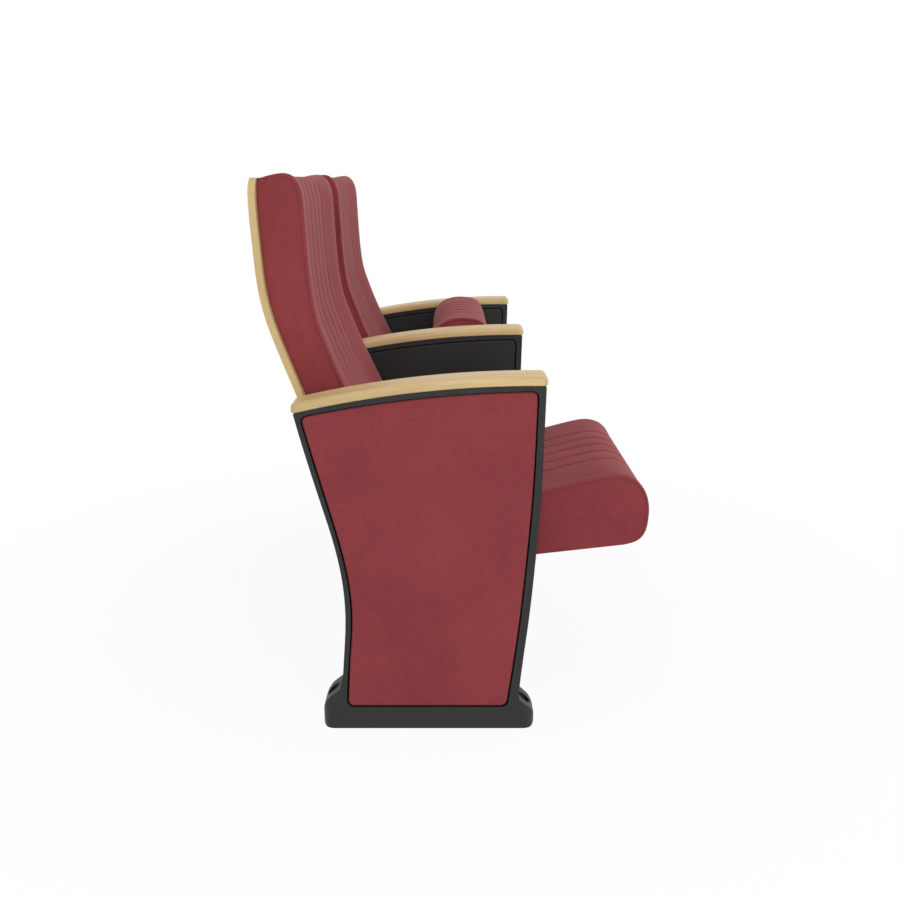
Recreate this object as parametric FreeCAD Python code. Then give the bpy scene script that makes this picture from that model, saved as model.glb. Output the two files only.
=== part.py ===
import FreeCAD, Part
import math
import os

V = FreeCAD.Vector

# Frame: +X faces forward, +Y runs along the row, +Z is up, in millimetres.
# The origin is on the floor, at the centre of the middle foot's two anchor holes.

# Row of seats
SEAT_PITCH = 580.0                 # between the centre planes of two standards
STANDARD_Y = {"near": -SEAT_PITCH, "middle": 0.0, "far": SEAT_PITCH}
SEAT_Y = {"near": -SEAT_PITCH / 2, "far": SEAT_PITCH / 2}
SEAT_TURN = {"near": 0.0, "far": 90.0}      # the near seat is down, the far one is tipped up

# Standards: a cast frame with a tray on each side of a thin web
STANDARD_WIDTH = 60.0
HALF_WIDTH = STANDARD_WIDTH / 2
STANDARD_FACE = SEAT_PITCH / 2 - HALF_WIDTH     # from a seat's centre to the standard beside it
WEB_THICKNESS = 6.0
FRAME_BOTTOM = 12.0
FRAME_REAR = [(-226, 588.5), (-205.4, 507.5), (-185.6, 436.3), (-165.4, 363.6), (-151, 289.4),
              (-146.6, 213.6), (-151.4, 136.1), (-156.5, 62), (-158, FRAME_BOTTOM)]
FRAME_FRONT = [(200, 635.6), (198, 542.5), (195, 436.3), (188, 326.7), (178.4, 213.6),
               (169.6, 136.1), (162.4, 62), (159, FRAME_BOTTOM)]
FRAME_TOP_MIDDLE = (5, 627.0)

# Panels in the trays of the standards
PANEL_REAR = [(-213.2, 580), (-194, 507.5), (-174.6, 436.3), (-155.2, 363.6), (-140, 289.4),
              (-134.8, 213.6), (-139.9, 136.1), (-145.3, 45)]
PANEL_FRONT = [(185.8, 624), (183.8, 542.5), (179.8, 436.3), (172, 326.7), (162, 213.6),
               (153, 136.1), (140.6, 45)]
PANEL_TOP_MIDDLE = (5, 614.0)
PANEL_CORNER = 10.0
PANEL_GAP = 2.5                    # dark line between panel and frame
PANEL_RECESS = 1.0                 # panel face behind the frame's face
INNER_PANEL_THICKNESS = 4.0
COVER_THICKNESS = 2.0
BOARD_THICKNESS = 16.0
PANEL_EDGE_ROUND = 2.5
CLIP_POINTS = [(-150, 545), (130, 590), (-118, 330), (150, 330), (-100, 90), (105, 90)]
CLIP_RADIUS = 4.0
CLIP_BOSS_RADIUS = 9.0
CLIP_IN_PANEL = 2.5
CLIP_IN_BOSS = 3.5

# Feet
FOOT_LOBE = 34.0                   # length of a lobe beyond the frame's foot
FOOT_HALF_LENGTH = FOOT_LOBE - FRAME_REAR[-1][0]
FOOT_END_ROUND = 21.0
FOOT_TOE_ROUND = 9.0               # round under each end of the foot
ANCHOR_FROM_END = 18.0
ANCHOR_X = FOOT_HALF_LENGTH - ANCHOR_FROM_END
ANCHOR_HOLE_RADIUS = 6.0
ANCHOR_POCKET_RADIUS = 11.5
ANCHOR_FLANGE = 12.0
FOOT_REAR_TOP = [(15, 63.5), (4, 47), (0, 27)]       # slope end, round and end wall, from the foot's end
FOOT_FRONT_TOP = [(14, 44.5), (3.5, 33), (0, 16)]
FOOT_REAR_START = 77.0             # height where a lobe leaves the frame
FOOT_FRONT_START = 57.0
FOOT_REAR_LAP = 2.0                # a lobe's start, outside the frame's foot
FOOT_FRONT_LAP = 5.0
FOOT_SCREW_X = (-110.0, 110.0)
FOOT_SCREW_RADIUS = 4.0
FOOT_SCREW_HEAD = 6.5
FOOT_SCREW_HEAD_DEPTH = 5.5

# Armrests
ARM_WIDTH = 70.0
ARM_THICKNESS = 16.0
ARM_REAR_X = -229.5
ARM_FRONT_X = 202.5
ARM_EDGE_ROUND = 8.0
ARM_UNDER_ROUND = 2.5
ARM_CORNER_ROUND = 12.0
ARM_SCREW_X = (-140.0, 0.0, 140.0)
ARM_BOSS_RADIUS = 9.0
ARM_SCREW_Y = HALF_WIDTH - 5.0 - ARM_BOSS_RADIUS
ARM_SCREW_SEAT = 14.0              # depth of the screw heads under the arm
ARM_SCREW_IN_ARM = 11.0

# Hinge: pivot pin, bush, stop bolt and helper spring
PIVOT_X = 95.0
PIVOT_Z = 355.0
PIN_RADIUS = 8.0
PIN_COLLAR_RADIUS = 12.0
PIN_SHANK_RADIUS = 10.0
PIN_SHANK_LENGTH = 24.0
PIN_BOSS_RADIUS = 22.0
PIN_BOSS_PROUD = 1.0
BUSH_RADIUS = 11.0
BUSH_CLEARANCE = 0.05
BUSH_FLANGE_RADIUS = 17.0
BUSH_FLANGE = 2.0
RING_THICKNESS = 1.1
RING_RADIUS = 11.0
RING_GROOVE_RADIUS = 7.3
STOP_RADIUS = 46.0                 # distance from the pivot to the stop bolt
STOP_ANGLE = -45.0                 # in the seat's own axes, while the seat is down
STOP_BOLT_RADIUS = 5.0
STOP_SLEEVE_RADIUS = 7.0
STOP_BOSS_RADIUS = 13.0
STOP_PLAY = 0.3                    # air between sleeve and slot
TIP_RANGE = 90.0
SPRING_WIRE = 3.0
SPRING_TURN_GAP = 1.2              # air between turns, a little of it taken up by the part turn
SPRING_AIR_IN = 1.5                # air between the coil and the bush
SPRING_AIR_OUT = 2.1               # air between the coil and the standard's boss
SPRING_RADIUS = 15.5
SPRING_POST_RADIUS = 3.0
SPRING_POST_AT = 31.0              # distance from the pivot
SPRING_POST_ANGLE = -160.0         # in the seat's own axes
SPRING_TURNS = 2
SPRING_SPAN = SPRING_TURNS * (SPRING_WIRE + SPRING_TURN_GAP)

# Seat, in its own axes: u forward along the underside, w square to it, from the pivot
SEAT_TILT = 6.66                   # underside rises to the front while the seat is down
EAR_GAP = 6.0                      # between the cushion's side and a hinge ear
EAR_THICKNESS = 6.0
HINGE_ROOM = (BUSH_FLANGE + SPRING_AIR_IN + SPRING_WIRE + SPRING_SPAN + SPRING_AIR_OUT
              + PIN_BOSS_PROUD)    # between a hinge ear and the standard
EAR_OUT = STANDARD_FACE - HINGE_ROOM            # outer face of an ear, from the seat's centre
EAR_IN = EAR_OUT - EAR_THICKNESS
SEAT_HALF_WIDTH = EAR_IN - EAR_GAP
SEAT_BOTTOM = -65.0
SEAT_REAR = -142.0
SEAT_REAR_TOP = 46.0
SEAT_REAR_ROUND = 18.0
SEAT_NOSE_BOTTOM = 266.0
SEAT_TOP = [(-60, 46.5), (20, 47.5), (80, 51), (135, 57), (190, 65), (232, 69.5), (266, 65.5),
            (290, 50), (305, 26), (308.5, 2), (303, -28), (289, -52)]
SEAT_NOSE_END = (-1.0, -0.45)      # direction in which the nose runs into the underside
SEAT_SIDE_ROUND = 12.0
CHANNEL_PITCH = 53.5
CHANNEL_COUNT = 5
CHANNEL_ROUND = 5.0
BOARD_FROM_REAR = 11.0
BOARD_FROM_NOSE = 38.0
BOARD_FROM_SIDE = 24.0
BOARD_U = (SEAT_REAR + BOARD_FROM_REAR, SEAT_NOSE_BOTTOM - BOARD_FROM_NOSE)
BOARD_HALF_WIDTH = SEAT_HALF_WIDTH - BOARD_FROM_SIDE
BOARD_CORNER = 20.0
SEAT_BOARD_THICKNESS = 12.0
PAN_DEPTH = 10.5
PAN_WALL = 3.0
RECESS_GAP = 1.0
SEAM = 0.3                         # air between a soft or curved face and what is screwed to it
EAR_HALF_LENGTH = 64.0
EAR_HEAD_RADIUS = 30.0
EAR_SHOULDER = -24.0
FLANGE_THICKNESS = 6.0
FLANGE_REACH = 71.0
FLANGE_IN = EAR_IN - FLANGE_REACH
SCREW_RADIUS = 4.0
SCREW_FIT = 0.1                    # air round a screw in a plate
SCREW_BITE = 0.05                  # air round a screw in its thread
SCREW_HEAD_RADIUS = 7.0
HINGE_SCREW_ROWS = [(-46, 56), (46, 56), (0, 44)]    # u, and distance in from the ear
HINGE_SCREWS = [(u, EAR_IN - reach) for u, reach in HINGE_SCREW_ROWS]

# Back, as it shows from the side
BRACKET_THICKNESS = 5.0
SHELL_SIDE_AIR = 5.0               # between the shell's side and a bracket's plate
SHELL_HALF_WIDTH = STANDARD_FACE - BRACKET_THICKNESS - SHELL_SIDE_AIR
SHELL_THICKNESS = 12.0
SHELL_CORNER = 26.0
SHELL_REAR = [(-295.5, 971), (-297, 935), (-295, 885), (-291.8, 837), (-286, 780), (-276.5, 737),
              (-258.9, 684.4), (-228.4, 603.7), (-189.2, 500), (-149.8, 395.8)]
BACK_SET_IN = 13.0                 # the shell's edge shows this much beside the cushion
BACK_HALF_WIDTH = SHELL_HALF_WIDTH - BACK_SET_IN
BACK_SIDE_ROUND = 14.0
BACK_CREST_IN = 16.0
BACK_CREST = BACK_HALF_WIDTH - BACK_CREST_IN
BACK_RECESS = 12.0                 # middle of the back behind its side bolsters
BACK_FRONT = [(-266, 976), (-242, 974.8), (-221, 967), (-210, 950), (-207.6, 920), (-206, 885),
              (-203, 830), (-198.5, 780), (-191, 735), (-178, 696), (-159.5, 648)]
BACK_FRONT_LOW = (-124.0, 570.0)
BACK_BOTTOM_FRONT = (-60.0, 428.0)
BACK_BOTTOM_REAR_Z = 412.0
BACK_BOARD_THICKNESS = 9.0
BACK_BOARD_IN = 37.0
BACK_BOARD_HALF_WIDTH = BACK_HALF_WIDTH - BACK_BOARD_IN
BACK_BOARD_Z = (450.0, 930.0)

# Back brackets: a plate on the standard and a flange behind the shell
BRACKET_Z = (435.0, 560.0)
BRACKET_FORWARD = 78.0
BRACKET_FLANGE_REACH = 64.0
BRACKET_FLANGE_IN = SHELL_HALF_WIDTH - BRACKET_FLANGE_REACH
BRACKET_BOLTS = [(-142.0, 455.0), (-160.0, 515.0)]
BRACKET_BOSS_RADIUS = 10.0
SHELL_SCREW_Z = (462.0, 535.0)
SHELL_SCREW_FROM_EDGE = 42.0
SHELL_SCREW_Y = SHELL_HALF_WIDTH - SHELL_SCREW_FROM_EDGE
BOARD_BOLT_Z = (520.0, 640.0, 760.0)
BOARD_BOLT_Y = 120.0

STEP_DIR = "parts"


# Shape helpers

def box(x, y, z):
    """A box between pairs of limits."""
    solid = Part.makeBox(x[1] - x[0], y[1] - y[0], z[1] - z[0])
    solid.translate(V(x[0], y[0], z[0]))
    return solid


def rod(radius, start, end):
    """A round bar between two points."""
    run = end - start
    return Part.makeCylinder(radius, run.Length, start, run)


def rod_y(radius, x, z, y0, y1):
    """A round bar along Y."""
    return rod(radius, V(x, y0, z), V(x, y1, z))


def fused(solids):
    """One solid out of several that touch."""
    return solids[0].multiFuse(solids[1:]).removeSplitter()


def at(point, y=0.0):
    """A side-view point (x, z) as a vector."""
    return V(point[0], y, point[1])


def curve(points, first=None, last=None):
    """A smooth edge through side-view points, with its end directions where they are given."""
    spline = Part.BSplineCurve()
    if first is None:
        spline.interpolate([at(p) for p in points])
    else:
        start, end = at(first).normalize(), at(last).normalize()
        spline.interpolate(Points=[at(p) for p in points], InitialTangent=start, FinalTangent=end)
    return spline.toShape()


def line(a, b):
    return Part.makeLine(at(a), at(b))


def arc(a, b, c):
    return Part.Arc(at(a), at(b), at(c)).toShape()


def slab(edges, y0, y1):
    """A side-view outline given thickness along Y."""
    face = Part.Face(Part.Wire(edges))
    face.translate(V(0, y0, 0))
    return face.extrude(V(0, y1 - y0, 0))


def along_y(solid):
    """The straight edges of a solid that run along Y."""
    found = []
    for edge in solid.Edges:
        a, b = edge.Vertexes[0].Point, edge.Vertexes[-1].Point
        if abs(a.x - b.x) < 0.01 and abs(a.z - b.z) < 0.01 and abs(a.y - b.y) > 0.01:
            found.append(edge)
    return found


def near_point(edges, x, z, reach=3.0):
    """Those edges whose start lies close to a side-view point."""
    return [e for e in edges if math.hypot(e.Vertexes[0].X - x, e.Vertexes[0].Z - z) < reach]


def edges_in_plane(solid, y):
    """The edges that lie wholly in a plane square to Y."""
    return [e for e in solid.Edges if abs(e.BoundBox.YMin - y) < 0.01 and abs(e.BoundBox.YMax - y) < 0.01]


def offset_points(points, distance):
    """Side-view points moved to the left of their direction of travel."""
    moved = []
    last = len(points) - 1
    for i, p in enumerate(points):
        a, b = points[max(i - 1, 0)], points[min(i + 1, last)]
        dx, dz = b[0] - a[0], b[1] - a[1]
        size = math.hypot(dx, dz)
        moved.append((p[0] - dz / size * distance, p[1] + dx / size * distance))
    return moved


def mirrored(solid):
    """The same piece for the other side of a seat."""
    return solid.mirror(V(0, 0, 0), V(0, 1, 0))


def write(name, *solids):
    """One STEP file, for one named piece or a group of like fasteners."""
    shape = solids[0] if len(solids) == 1 else Part.makeCompound(list(solids))
    for solid in shape.Solids:
        if not solid.isValid():
            print("not valid:", name)
    shape.exportStep(os.path.join(STEP_DIR, name + ".step"))
    box_ = shape.optimalBoundingBox(False, False)
    print("%-28s %2d solids %8.1f cm3  x %.0f %.0f  y %.0f %.0f  z %.0f %.0f" % (
        name, len(shape.Solids), shape.Volume / 1000, box_.XMin, box_.XMax, box_.YMin, box_.YMax,
        box_.ZMin, box_.ZMax))


# Standards

def panel_outline(grow):
    """Edges of the panel's outline, larger all round by grow."""
    rear = [(x - grow, z) for x, z in PANEL_REAR]
    front = [(x + grow, z) for x, z in PANEL_FRONT]
    rear[0] = (rear[0][0], rear[0][1] + grow)
    front[0] = (front[0][0], front[0][1] + grow)
    rear[-1] = (rear[-1][0], rear[-1][1] - grow)
    front[-1] = (front[-1][0], front[-1][1] - grow)
    middle = (PANEL_TOP_MIDDLE[0], PANEL_TOP_MIDDLE[1] + grow)
    return [curve(rear), line(rear[-1], front[-1]), curve(front), arc(front[0], middle, rear[0])]


def panel_slab(grow, y0, y1):
    """A panel shape with round corners."""
    solid = slab(panel_outline(grow), y0, y1)
    return solid.makeFillet(PANEL_CORNER + grow, along_y(solid))


def arm_arc_z(x):
    """Height and slope of the frame's top, where the arm lies."""
    top = arc(FRAME_REAR[0], FRAME_TOP_MIDDLE, FRAME_FRONT[0]).Curve
    centre, radius = top.Center, top.Radius
    z = centre.z + math.sqrt(radius ** 2 - (x - centre.x) ** 2)
    return z, -(x - centre.x) / (z - centre.z)


def tray_faces(standard):
    """Which sides of a standard face a seat: -1 towards the camera, +1 away from it."""
    return {"near": (1,), "middle": (-1, 1), "far": (-1,)}[standard]


def boss(x, z, radius, side, reach):
    """A round boss from the web to a distance from the centre plane."""
    return rod_y(radius, x, z, 0, side * reach)


def stop_point():
    """Side-view place of the stop bolt."""
    angle = math.radians(STOP_ANGLE + SEAT_TILT)
    return PIVOT_X + STOP_RADIUS * math.cos(angle), PIVOT_Z + STOP_RADIUS * math.sin(angle)


def panel_back(standard, side):
    """Distance of a panel's back from the standard's centre plane."""
    if side in tray_faces(standard):
        return HALF_WIDTH - PANEL_RECESS - INNER_PANEL_THICKNESS
    return HALF_WIDTH - PANEL_RECESS - COVER_THICKNESS - BOARD_THICKNESS


def arm_screw_lines(standard):
    """Starts and unit directions of the arm screws, square to the frame's top."""
    lines = []
    for x in ARM_SCREW_X:
        z, slope = arm_arc_z(x)
        up = V(-slope, 0, 1).normalize()
        lines += [(V(x, side * ARM_SCREW_Y, z), up) for side in tray_faces(standard)]
    return lines


def frame_outline():
    return [curve(FRAME_REAR), line(FRAME_REAR[-1], FRAME_FRONT[-1]), curve(FRAME_FRONT),
            arc(FRAME_FRONT[0], FRAME_TOP_MIDDLE, FRAME_REAR[0])]


def make_frame(standard):
    frame = slab(frame_outline(), -HALF_WIDTH, HALF_WIDTH)
    frame = frame.makeFillet(4.0, near_point(along_y(frame), *FRAME_REAR[0])
                             + near_point(along_y(frame), *FRAME_FRONT[0]))
    cuts = []
    for side in (-1, 1):
        faces = sorted((side * WEB_THICKNESS / 2, side * (HALF_WIDTH + 1)))
        cuts.append(panel_slab(PANEL_GAP, *faces))
    frame = frame.cut(Part.makeCompound(cuts))
    adds = []
    holes = []
    for side in (-1, 1):
        back = panel_back(standard, side)
        for x, z in CLIP_POINTS:
            adds.append(boss(x, z, CLIP_BOSS_RADIUS, side, back))
            holes.append(rod_y(CLIP_RADIUS, x, z, side * (back - CLIP_IN_BOSS), side * (back + 1)))
        if side in tray_faces(standard):
            face = HALF_WIDTH
            adds.append(boss(PIVOT_X, PIVOT_Z, PIN_BOSS_RADIUS, side, face + PIN_BOSS_PROUD))
            adds.append(boss(*stop_point(), STOP_BOSS_RADIUS, side, face))
            depth = face + PIN_BOSS_PROUD - PIN_SHANK_LENGTH
            holes.append(rod_y(PIN_SHANK_RADIUS, PIVOT_X, PIVOT_Z, side * depth, side * (face + 5)))
            holes.append(rod_y(STOP_BOLT_RADIUS, *stop_point(), side * depth, side * (face + 5)))
            for x, z in BRACKET_BOLTS:
                adds.append(boss(x, z, BRACKET_BOSS_RADIUS, side, face))
                holes.append(rod_y(SCREW_RADIUS, x, z, side * (face - 18), side * (face + 5)))
    for start, up in arm_screw_lines(standard):
        adds.append(rod(ARM_BOSS_RADIUS, start - up * ARM_SCREW_SEAT, start - up * 3))
        holes.append(rod(3.2, start - up * (ARM_SCREW_SEAT + 5), start + up * 5))
    for x in FOOT_SCREW_X:
        holes.append(rod(FOOT_SCREW_RADIUS, V(x, 0, 0), V(x, 0, FRAME_BOTTOM + 20)))
    return fused([frame] + adds).cut(Part.makeCompound(holes))


def make_foot():
    """A casting whose two lobes hold the frame's bottom between them."""
    rear = [(-FOOT_HALF_LENGTH + x, z) for x, z in FOOT_REAR_TOP]
    front = [(FOOT_HALF_LENGTH - x, z) for x, z in FOOT_FRONT_TOP]
    rear_start = (FRAME_REAR[-1][0] - FOOT_REAR_LAP, FOOT_REAR_START)
    front_start = (FRAME_FRONT[-1][0] + FOOT_FRONT_LAP, FOOT_FRONT_START)
    rear_in = (FRAME_REAR[-1][0] * 0.95, FOOT_REAR_START)
    front_in = (FRAME_FRONT[-1][0] * 0.95, FOOT_FRONT_START)
    toe = FOOT_TOE_ROUND
    mid = toe * (1 - math.sqrt(0.5))
    low_r, low_f = (toe - FOOT_HALF_LENGTH, 0), (FOOT_HALF_LENGTH - toe, 0)
    end_r, end_f = (-FOOT_HALF_LENGTH, toe), (FOOT_HALF_LENGTH, toe)
    outline = [arc(end_r, (mid - FOOT_HALF_LENGTH, mid), low_r), line(low_r, low_f),
               arc(low_f, (FOOT_HALF_LENGTH - mid, mid), end_f), line(end_f, front[2]),
               arc(front[2], front[1], front[0]),
               line(front[0], front_start), line(front_start, front_in), line(front_in, rear_in),
               line(rear_in, rear_start), line(rear_start, rear[0]), arc(rear[0], rear[1], rear[2]),
               line(rear[2], end_r)]
    foot = slab(outline, -HALF_WIDTH, HALF_WIDTH)
    foot = rounded_ends(foot).cut(slab(frame_outline(), -HALF_WIDTH - 1, HALF_WIDTH + 1))
    cuts = []
    for x in (-ANCHOR_X, ANCHOR_X):
        cuts.append(rod(ANCHOR_HOLE_RADIUS, V(x, 0, -1), V(x, 0, ANCHOR_FLANGE + 1)))
        cuts.append(rod(ANCHOR_POCKET_RADIUS, V(x, 0, ANCHOR_FLANGE), V(x, 0, 100)))
    for x in FOOT_SCREW_X:
        cuts.append(rod(FOOT_SCREW_RADIUS + 0.2, V(x, 0, -1), V(x, 0, FRAME_BOTTOM + 8)))
        cuts.append(rod(FOOT_SCREW_HEAD + 1, V(x, 0, -1), V(x, 0, FOOT_SCREW_HEAD_DEPTH)))
    return foot.cut(Part.makeCompound(cuts))


def rounded_ends(foot):
    """The foot's two ends, round in plan."""
    plan = box((-FOOT_HALF_LENGTH, FOOT_HALF_LENGTH), (-HALF_WIDTH, HALF_WIDTH), (-1, 2 * FOOT_REAR_START))
    upright = [e for e in plan.Edges if e.BoundBox.ZLength > 2 * FOOT_REAR_START]
    return foot.common(plan.makeFillet(FOOT_END_ROUND, upright))


def make_foot_screws():
    screws = []
    for x in FOOT_SCREW_X:
        head = rod(FOOT_SCREW_HEAD, V(x, 0, 1), V(x, 0, FOOT_SCREW_HEAD_DEPTH))
        shank = rod(FOOT_SCREW_RADIUS - SCREW_BITE, V(x, 0, FOOT_SCREW_HEAD_DEPTH),
                    V(x, 0, FRAME_BOTTOM + 18))
        screws.append(fused([head, shank]))
    return screws


def panel_pieces(standard, side):
    """The panels of one tray: an inner moulding, or a board with a fabric cover."""
    front = HALF_WIDTH - PANEL_RECESS
    back = panel_back(standard, side)
    clips = [rod_y(CLIP_RADIUS, x, z, back - 1, back + CLIP_IN_PANEL) for x, z in CLIP_POINTS]
    if side in tray_faces(standard):
        panel = panel_slab(0, back, front)
        panel = panel.makeFillet(PANEL_EDGE_ROUND, edges_in_plane(panel, front))
        holes = clips + [rod_y(PIN_BOSS_RADIUS + 1, PIVOT_X, PIVOT_Z, back - 1, front + 1),
                         rod_y(STOP_BOSS_RADIUS + 1, *stop_point(), back - 1, front + 1)]
        for x, z in BRACKET_BOLTS:
            holes.append(rod_y(BRACKET_BOSS_RADIUS + 1, x, z, back - 1, front + 1))
        pieces = {"inner_panel": panel.cut(Part.makeCompound(holes))}
    else:
        cover = panel_slab(0, back, front)
        cover = cover.makeFillet(PANEL_EDGE_ROUND + 1, edges_in_plane(cover, front))
        board = panel_slab(-COVER_THICKNESS, back, front - COVER_THICKNESS)
        cover = cover.cut(panel_slab(-COVER_THICKNESS, back - 1, front - COVER_THICKNESS))
        pieces = {"outer_panel_board": board.cut(Part.makeCompound(clips)),
                  "outer_panel_cover": cover}
    if side < 0:
        pieces = {name: mirrored(solid) for name, solid in pieces.items()}
    return pieces


def panel_clips(standard, side):
    back = panel_back(standard, side)
    radius = CLIP_RADIUS - 0.05
    clips = []
    for x, z in CLIP_POINTS:
        clips.append(rod_y(radius, x, z, side * (back - CLIP_IN_BOSS), side * (back + CLIP_IN_PANEL)))
    return clips


def make_armrest():
    """Pale wood arm that follows the frame's arched top."""
    z0, _ = arm_arc_z(ARM_REAR_X)
    z1, _ = arm_arc_z(ARM_FRONT_X)
    zm, _ = arm_arc_z(0)
    low = [(ARM_REAR_X, z0), (0, zm), (ARM_FRONT_X, z1)]
    high = [(x, z + ARM_THICKNESS) for x, z in low]
    arm = slab([arc(*low), line(low[2], high[2]), arc(*high), line(high[0], low[0])],
               -ARM_WIDTH / 2, ARM_WIDTH / 2)
    upright = [e for e in arm.Edges if abs(e.Length - ARM_THICKNESS) < 0.01]
    arm = arm.makeFillet(ARM_CORNER_ROUND, upright)
    top = max(arm.Faces, key=lambda f: (f.normalAt(0.5, 0.5).z > 0.5) * f.Area)
    arm = arm.makeFillet(ARM_EDGE_ROUND, top.Edges)
    under = min(arm.Faces, key=lambda f: (f.normalAt(0.5, 0.5).z < -0.5) * -f.Area)
    return arm.makeFillet(ARM_UNDER_ROUND, under.Edges)


def arm_screws(standard):
    screws = []
    for start, up in arm_screw_lines(standard):
        head = rod(5.5, start - up * (ARM_SCREW_SEAT + 4), start - up * ARM_SCREW_SEAT)
        shank = rod(2.95, start - up * ARM_SCREW_SEAT, start + up * ARM_SCREW_IN_ARM)
        screws.append(fused([head, shank]))
    return screws


def arm_holes(arm, standard):
    holes = [rod(3.0, start - up * 2, start + up * (ARM_SCREW_IN_ARM + 0.5))
             for start, up in arm_screw_lines(standard)]
    return arm.cut(Part.makeCompound(holes))


# Hinge parts on the standards, for the side of a seat where y is positive

def make_pin():
    ring_at = EAR_IN - 2.8
    collar = rod_y(PIN_COLLAR_RADIUS, PIVOT_X, PIVOT_Z, EAR_OUT + BUSH_FLANGE + 0.3,
                   STANDARD_FACE - PIN_BOSS_PROUD)
    journal = rod_y(PIN_RADIUS, PIVOT_X, PIVOT_Z, ring_at - 1.4, EAR_OUT + BUSH_FLANGE + 0.3)
    shank = rod_y(PIN_SHANK_RADIUS - 0.02, PIVOT_X, PIVOT_Z, STANDARD_FACE - PIN_BOSS_PROUD,
                  STANDARD_FACE - PIN_BOSS_PROUD + PIN_SHANK_LENGTH)
    groove = rod_y(PIN_RADIUS + 2, PIVOT_X, PIVOT_Z, ring_at, ring_at + RING_THICKNESS + 0.1)
    groove = groove.cut(rod_y(RING_GROOVE_RADIUS, PIVOT_X, PIVOT_Z, ring_at - 1, ring_at + 3))
    return fused([collar, journal, shank]).cut(groove)


def make_retaining_ring():
    ring_at = EAR_IN - 2.8
    ring = rod_y(RING_RADIUS, PIVOT_X, PIVOT_Z, ring_at + 0.05, ring_at + 0.05 + RING_THICKNESS)
    ring = ring.cut(rod_y(RING_GROOVE_RADIUS + 0.1, PIVOT_X, PIVOT_Z, ring_at - 1, ring_at + 3))
    mouth = box((PIVOT_X - 3, PIVOT_X + 3), (ring_at - 1, ring_at + 3), (PIVOT_Z, PIVOT_Z + 20))
    return ring.cut(mouth)


def make_stop_bolt():
    x, z = stop_point()
    head = rod_y(8.5, x, z, EAR_IN - 4.2, EAR_IN - 1.2)
    shank = rod_y(STOP_BOLT_RADIUS - 0.05, x, z, EAR_IN - 1.2,
                  STANDARD_FACE - PIN_BOSS_PROUD + PIN_SHANK_LENGTH)
    return fused([head, shank])


def make_stop_sleeve():
    x, z = stop_point()
    sleeve = rod_y(STOP_SLEEVE_RADIUS, x, z, EAR_IN - 1.2, EAR_OUT + 1.5)
    return sleeve.cut(rod_y(STOP_BOLT_RADIUS, x, z, EAR_IN - 3, EAR_OUT + 3))


def make_spring(turned):
    """Helper spring: a leg on the stop bolt, a coil round the pin's collar, a leg on the ear's post."""
    wire_r = SPRING_WIRE / 2
    stop = STOP_ANGLE + SEAT_TILT
    lean = math.degrees(math.acos((SPRING_RADIUS + STOP_BOLT_RADIUS + wire_r + 0.15) / STOP_RADIUS))
    first = stop - lean
    post = SPRING_POST_ANGLE + SEAT_TILT + turned
    lean_post = math.degrees(math.acos((SPRING_RADIUS + SPRING_POST_RADIUS + wire_r + 0.15)
                                       / SPRING_POST_AT))
    last = post + lean_post - 360.0 * (SPRING_TURNS - 1)
    while last > first - 360.0 * (SPRING_TURNS - 0.5):
        last -= 360.0
    sweep = first - last
    y_out = STANDARD_FACE - PIN_BOSS_PROUD - SPRING_AIR_OUT - wire_r
    y_in = y_out - SPRING_SPAN
    fall = (y_out - y_in) / sweep

    def on_coil(angle):
        a = math.radians(angle)
        return V(PIVOT_X + SPRING_RADIUS * math.cos(a), y_out - (first - angle) * fall,
                 PIVOT_Z + SPRING_RADIUS * math.sin(a))

    def travel(angle):
        a = math.radians(angle)
        rise = -math.degrees(fall)
        run = V(SPRING_RADIUS * math.sin(a), rise, -SPRING_RADIUS * math.cos(a))
        run.normalize()
        return run

    leg_out = STOP_RADIUS * math.sin(math.radians(lean)) + 6
    leg_in = SPRING_POST_AT * math.sin(math.radians(lean_post)) + 4
    edges = [Part.makeLine(on_coil(first) - travel(first) * leg_out, on_coil(first))]
    steps = int(math.ceil(sweep / 90.0))
    for i in range(steps):
        a = first - sweep * i / steps
        b = first - sweep * (i + 1) / steps
        edges.append(Part.Arc(on_coil(a), on_coil((a + b) / 2), on_coil(b)).toShape())
    edges.append(Part.makeLine(on_coil(last), on_coil(last) + travel(last) * leg_in))
    path = Part.Wire(edges)
    start = edges[0].Vertexes[0].Point
    ring = Part.Wire([Part.makeCircle(wire_r, start, travel(first))])
    pitch = (y_out - y_in) / sweep * 360
    print("spring: %.2f turns, least gap between turns %.2f mm" % (sweep / 360, pitch - SPRING_WIRE))
    return path.makePipeShell([ring], True, False)


# Seat, built in its own axes about the pivot and then set in place

def placed(solid, seat):
    """A piece of a seat turned and moved from its own axes to its place in the row."""
    solid = solid.copy()
    solid.rotate(V(0, 0, 0), V(0, -1, 0), SEAT_TILT + SEAT_TURN[seat])
    solid.translate(V(PIVOT_X, SEAT_Y[seat], PIVOT_Z))
    return solid


def channel_places():
    half = (CHANNEL_COUNT - 1) / 2
    return [(i - half) * CHANNEL_PITCH for i in range(CHANNEL_COUNT)]


def seat_edges():
    rear_low = (SEAT_REAR, SEAT_BOTTOM)
    nose_low = (SEAT_NOSE_BOTTOM, SEAT_BOTTOM)
    short = SEAT_REAR_ROUND * (1 - math.sqrt(0.5))
    round_start = (SEAT_REAR, SEAT_REAR_TOP - SEAT_REAR_ROUND)
    round_middle = (SEAT_REAR + short, SEAT_REAR_TOP - short)
    round_end = (SEAT_REAR + SEAT_REAR_ROUND, SEAT_REAR_TOP)
    return [line(rear_low, round_start), arc(round_start, round_middle, round_end),
            curve([round_end] + SEAT_TOP + [nose_low], (1, 0), SEAT_NOSE_END), line(nose_low, rear_low)]


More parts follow.
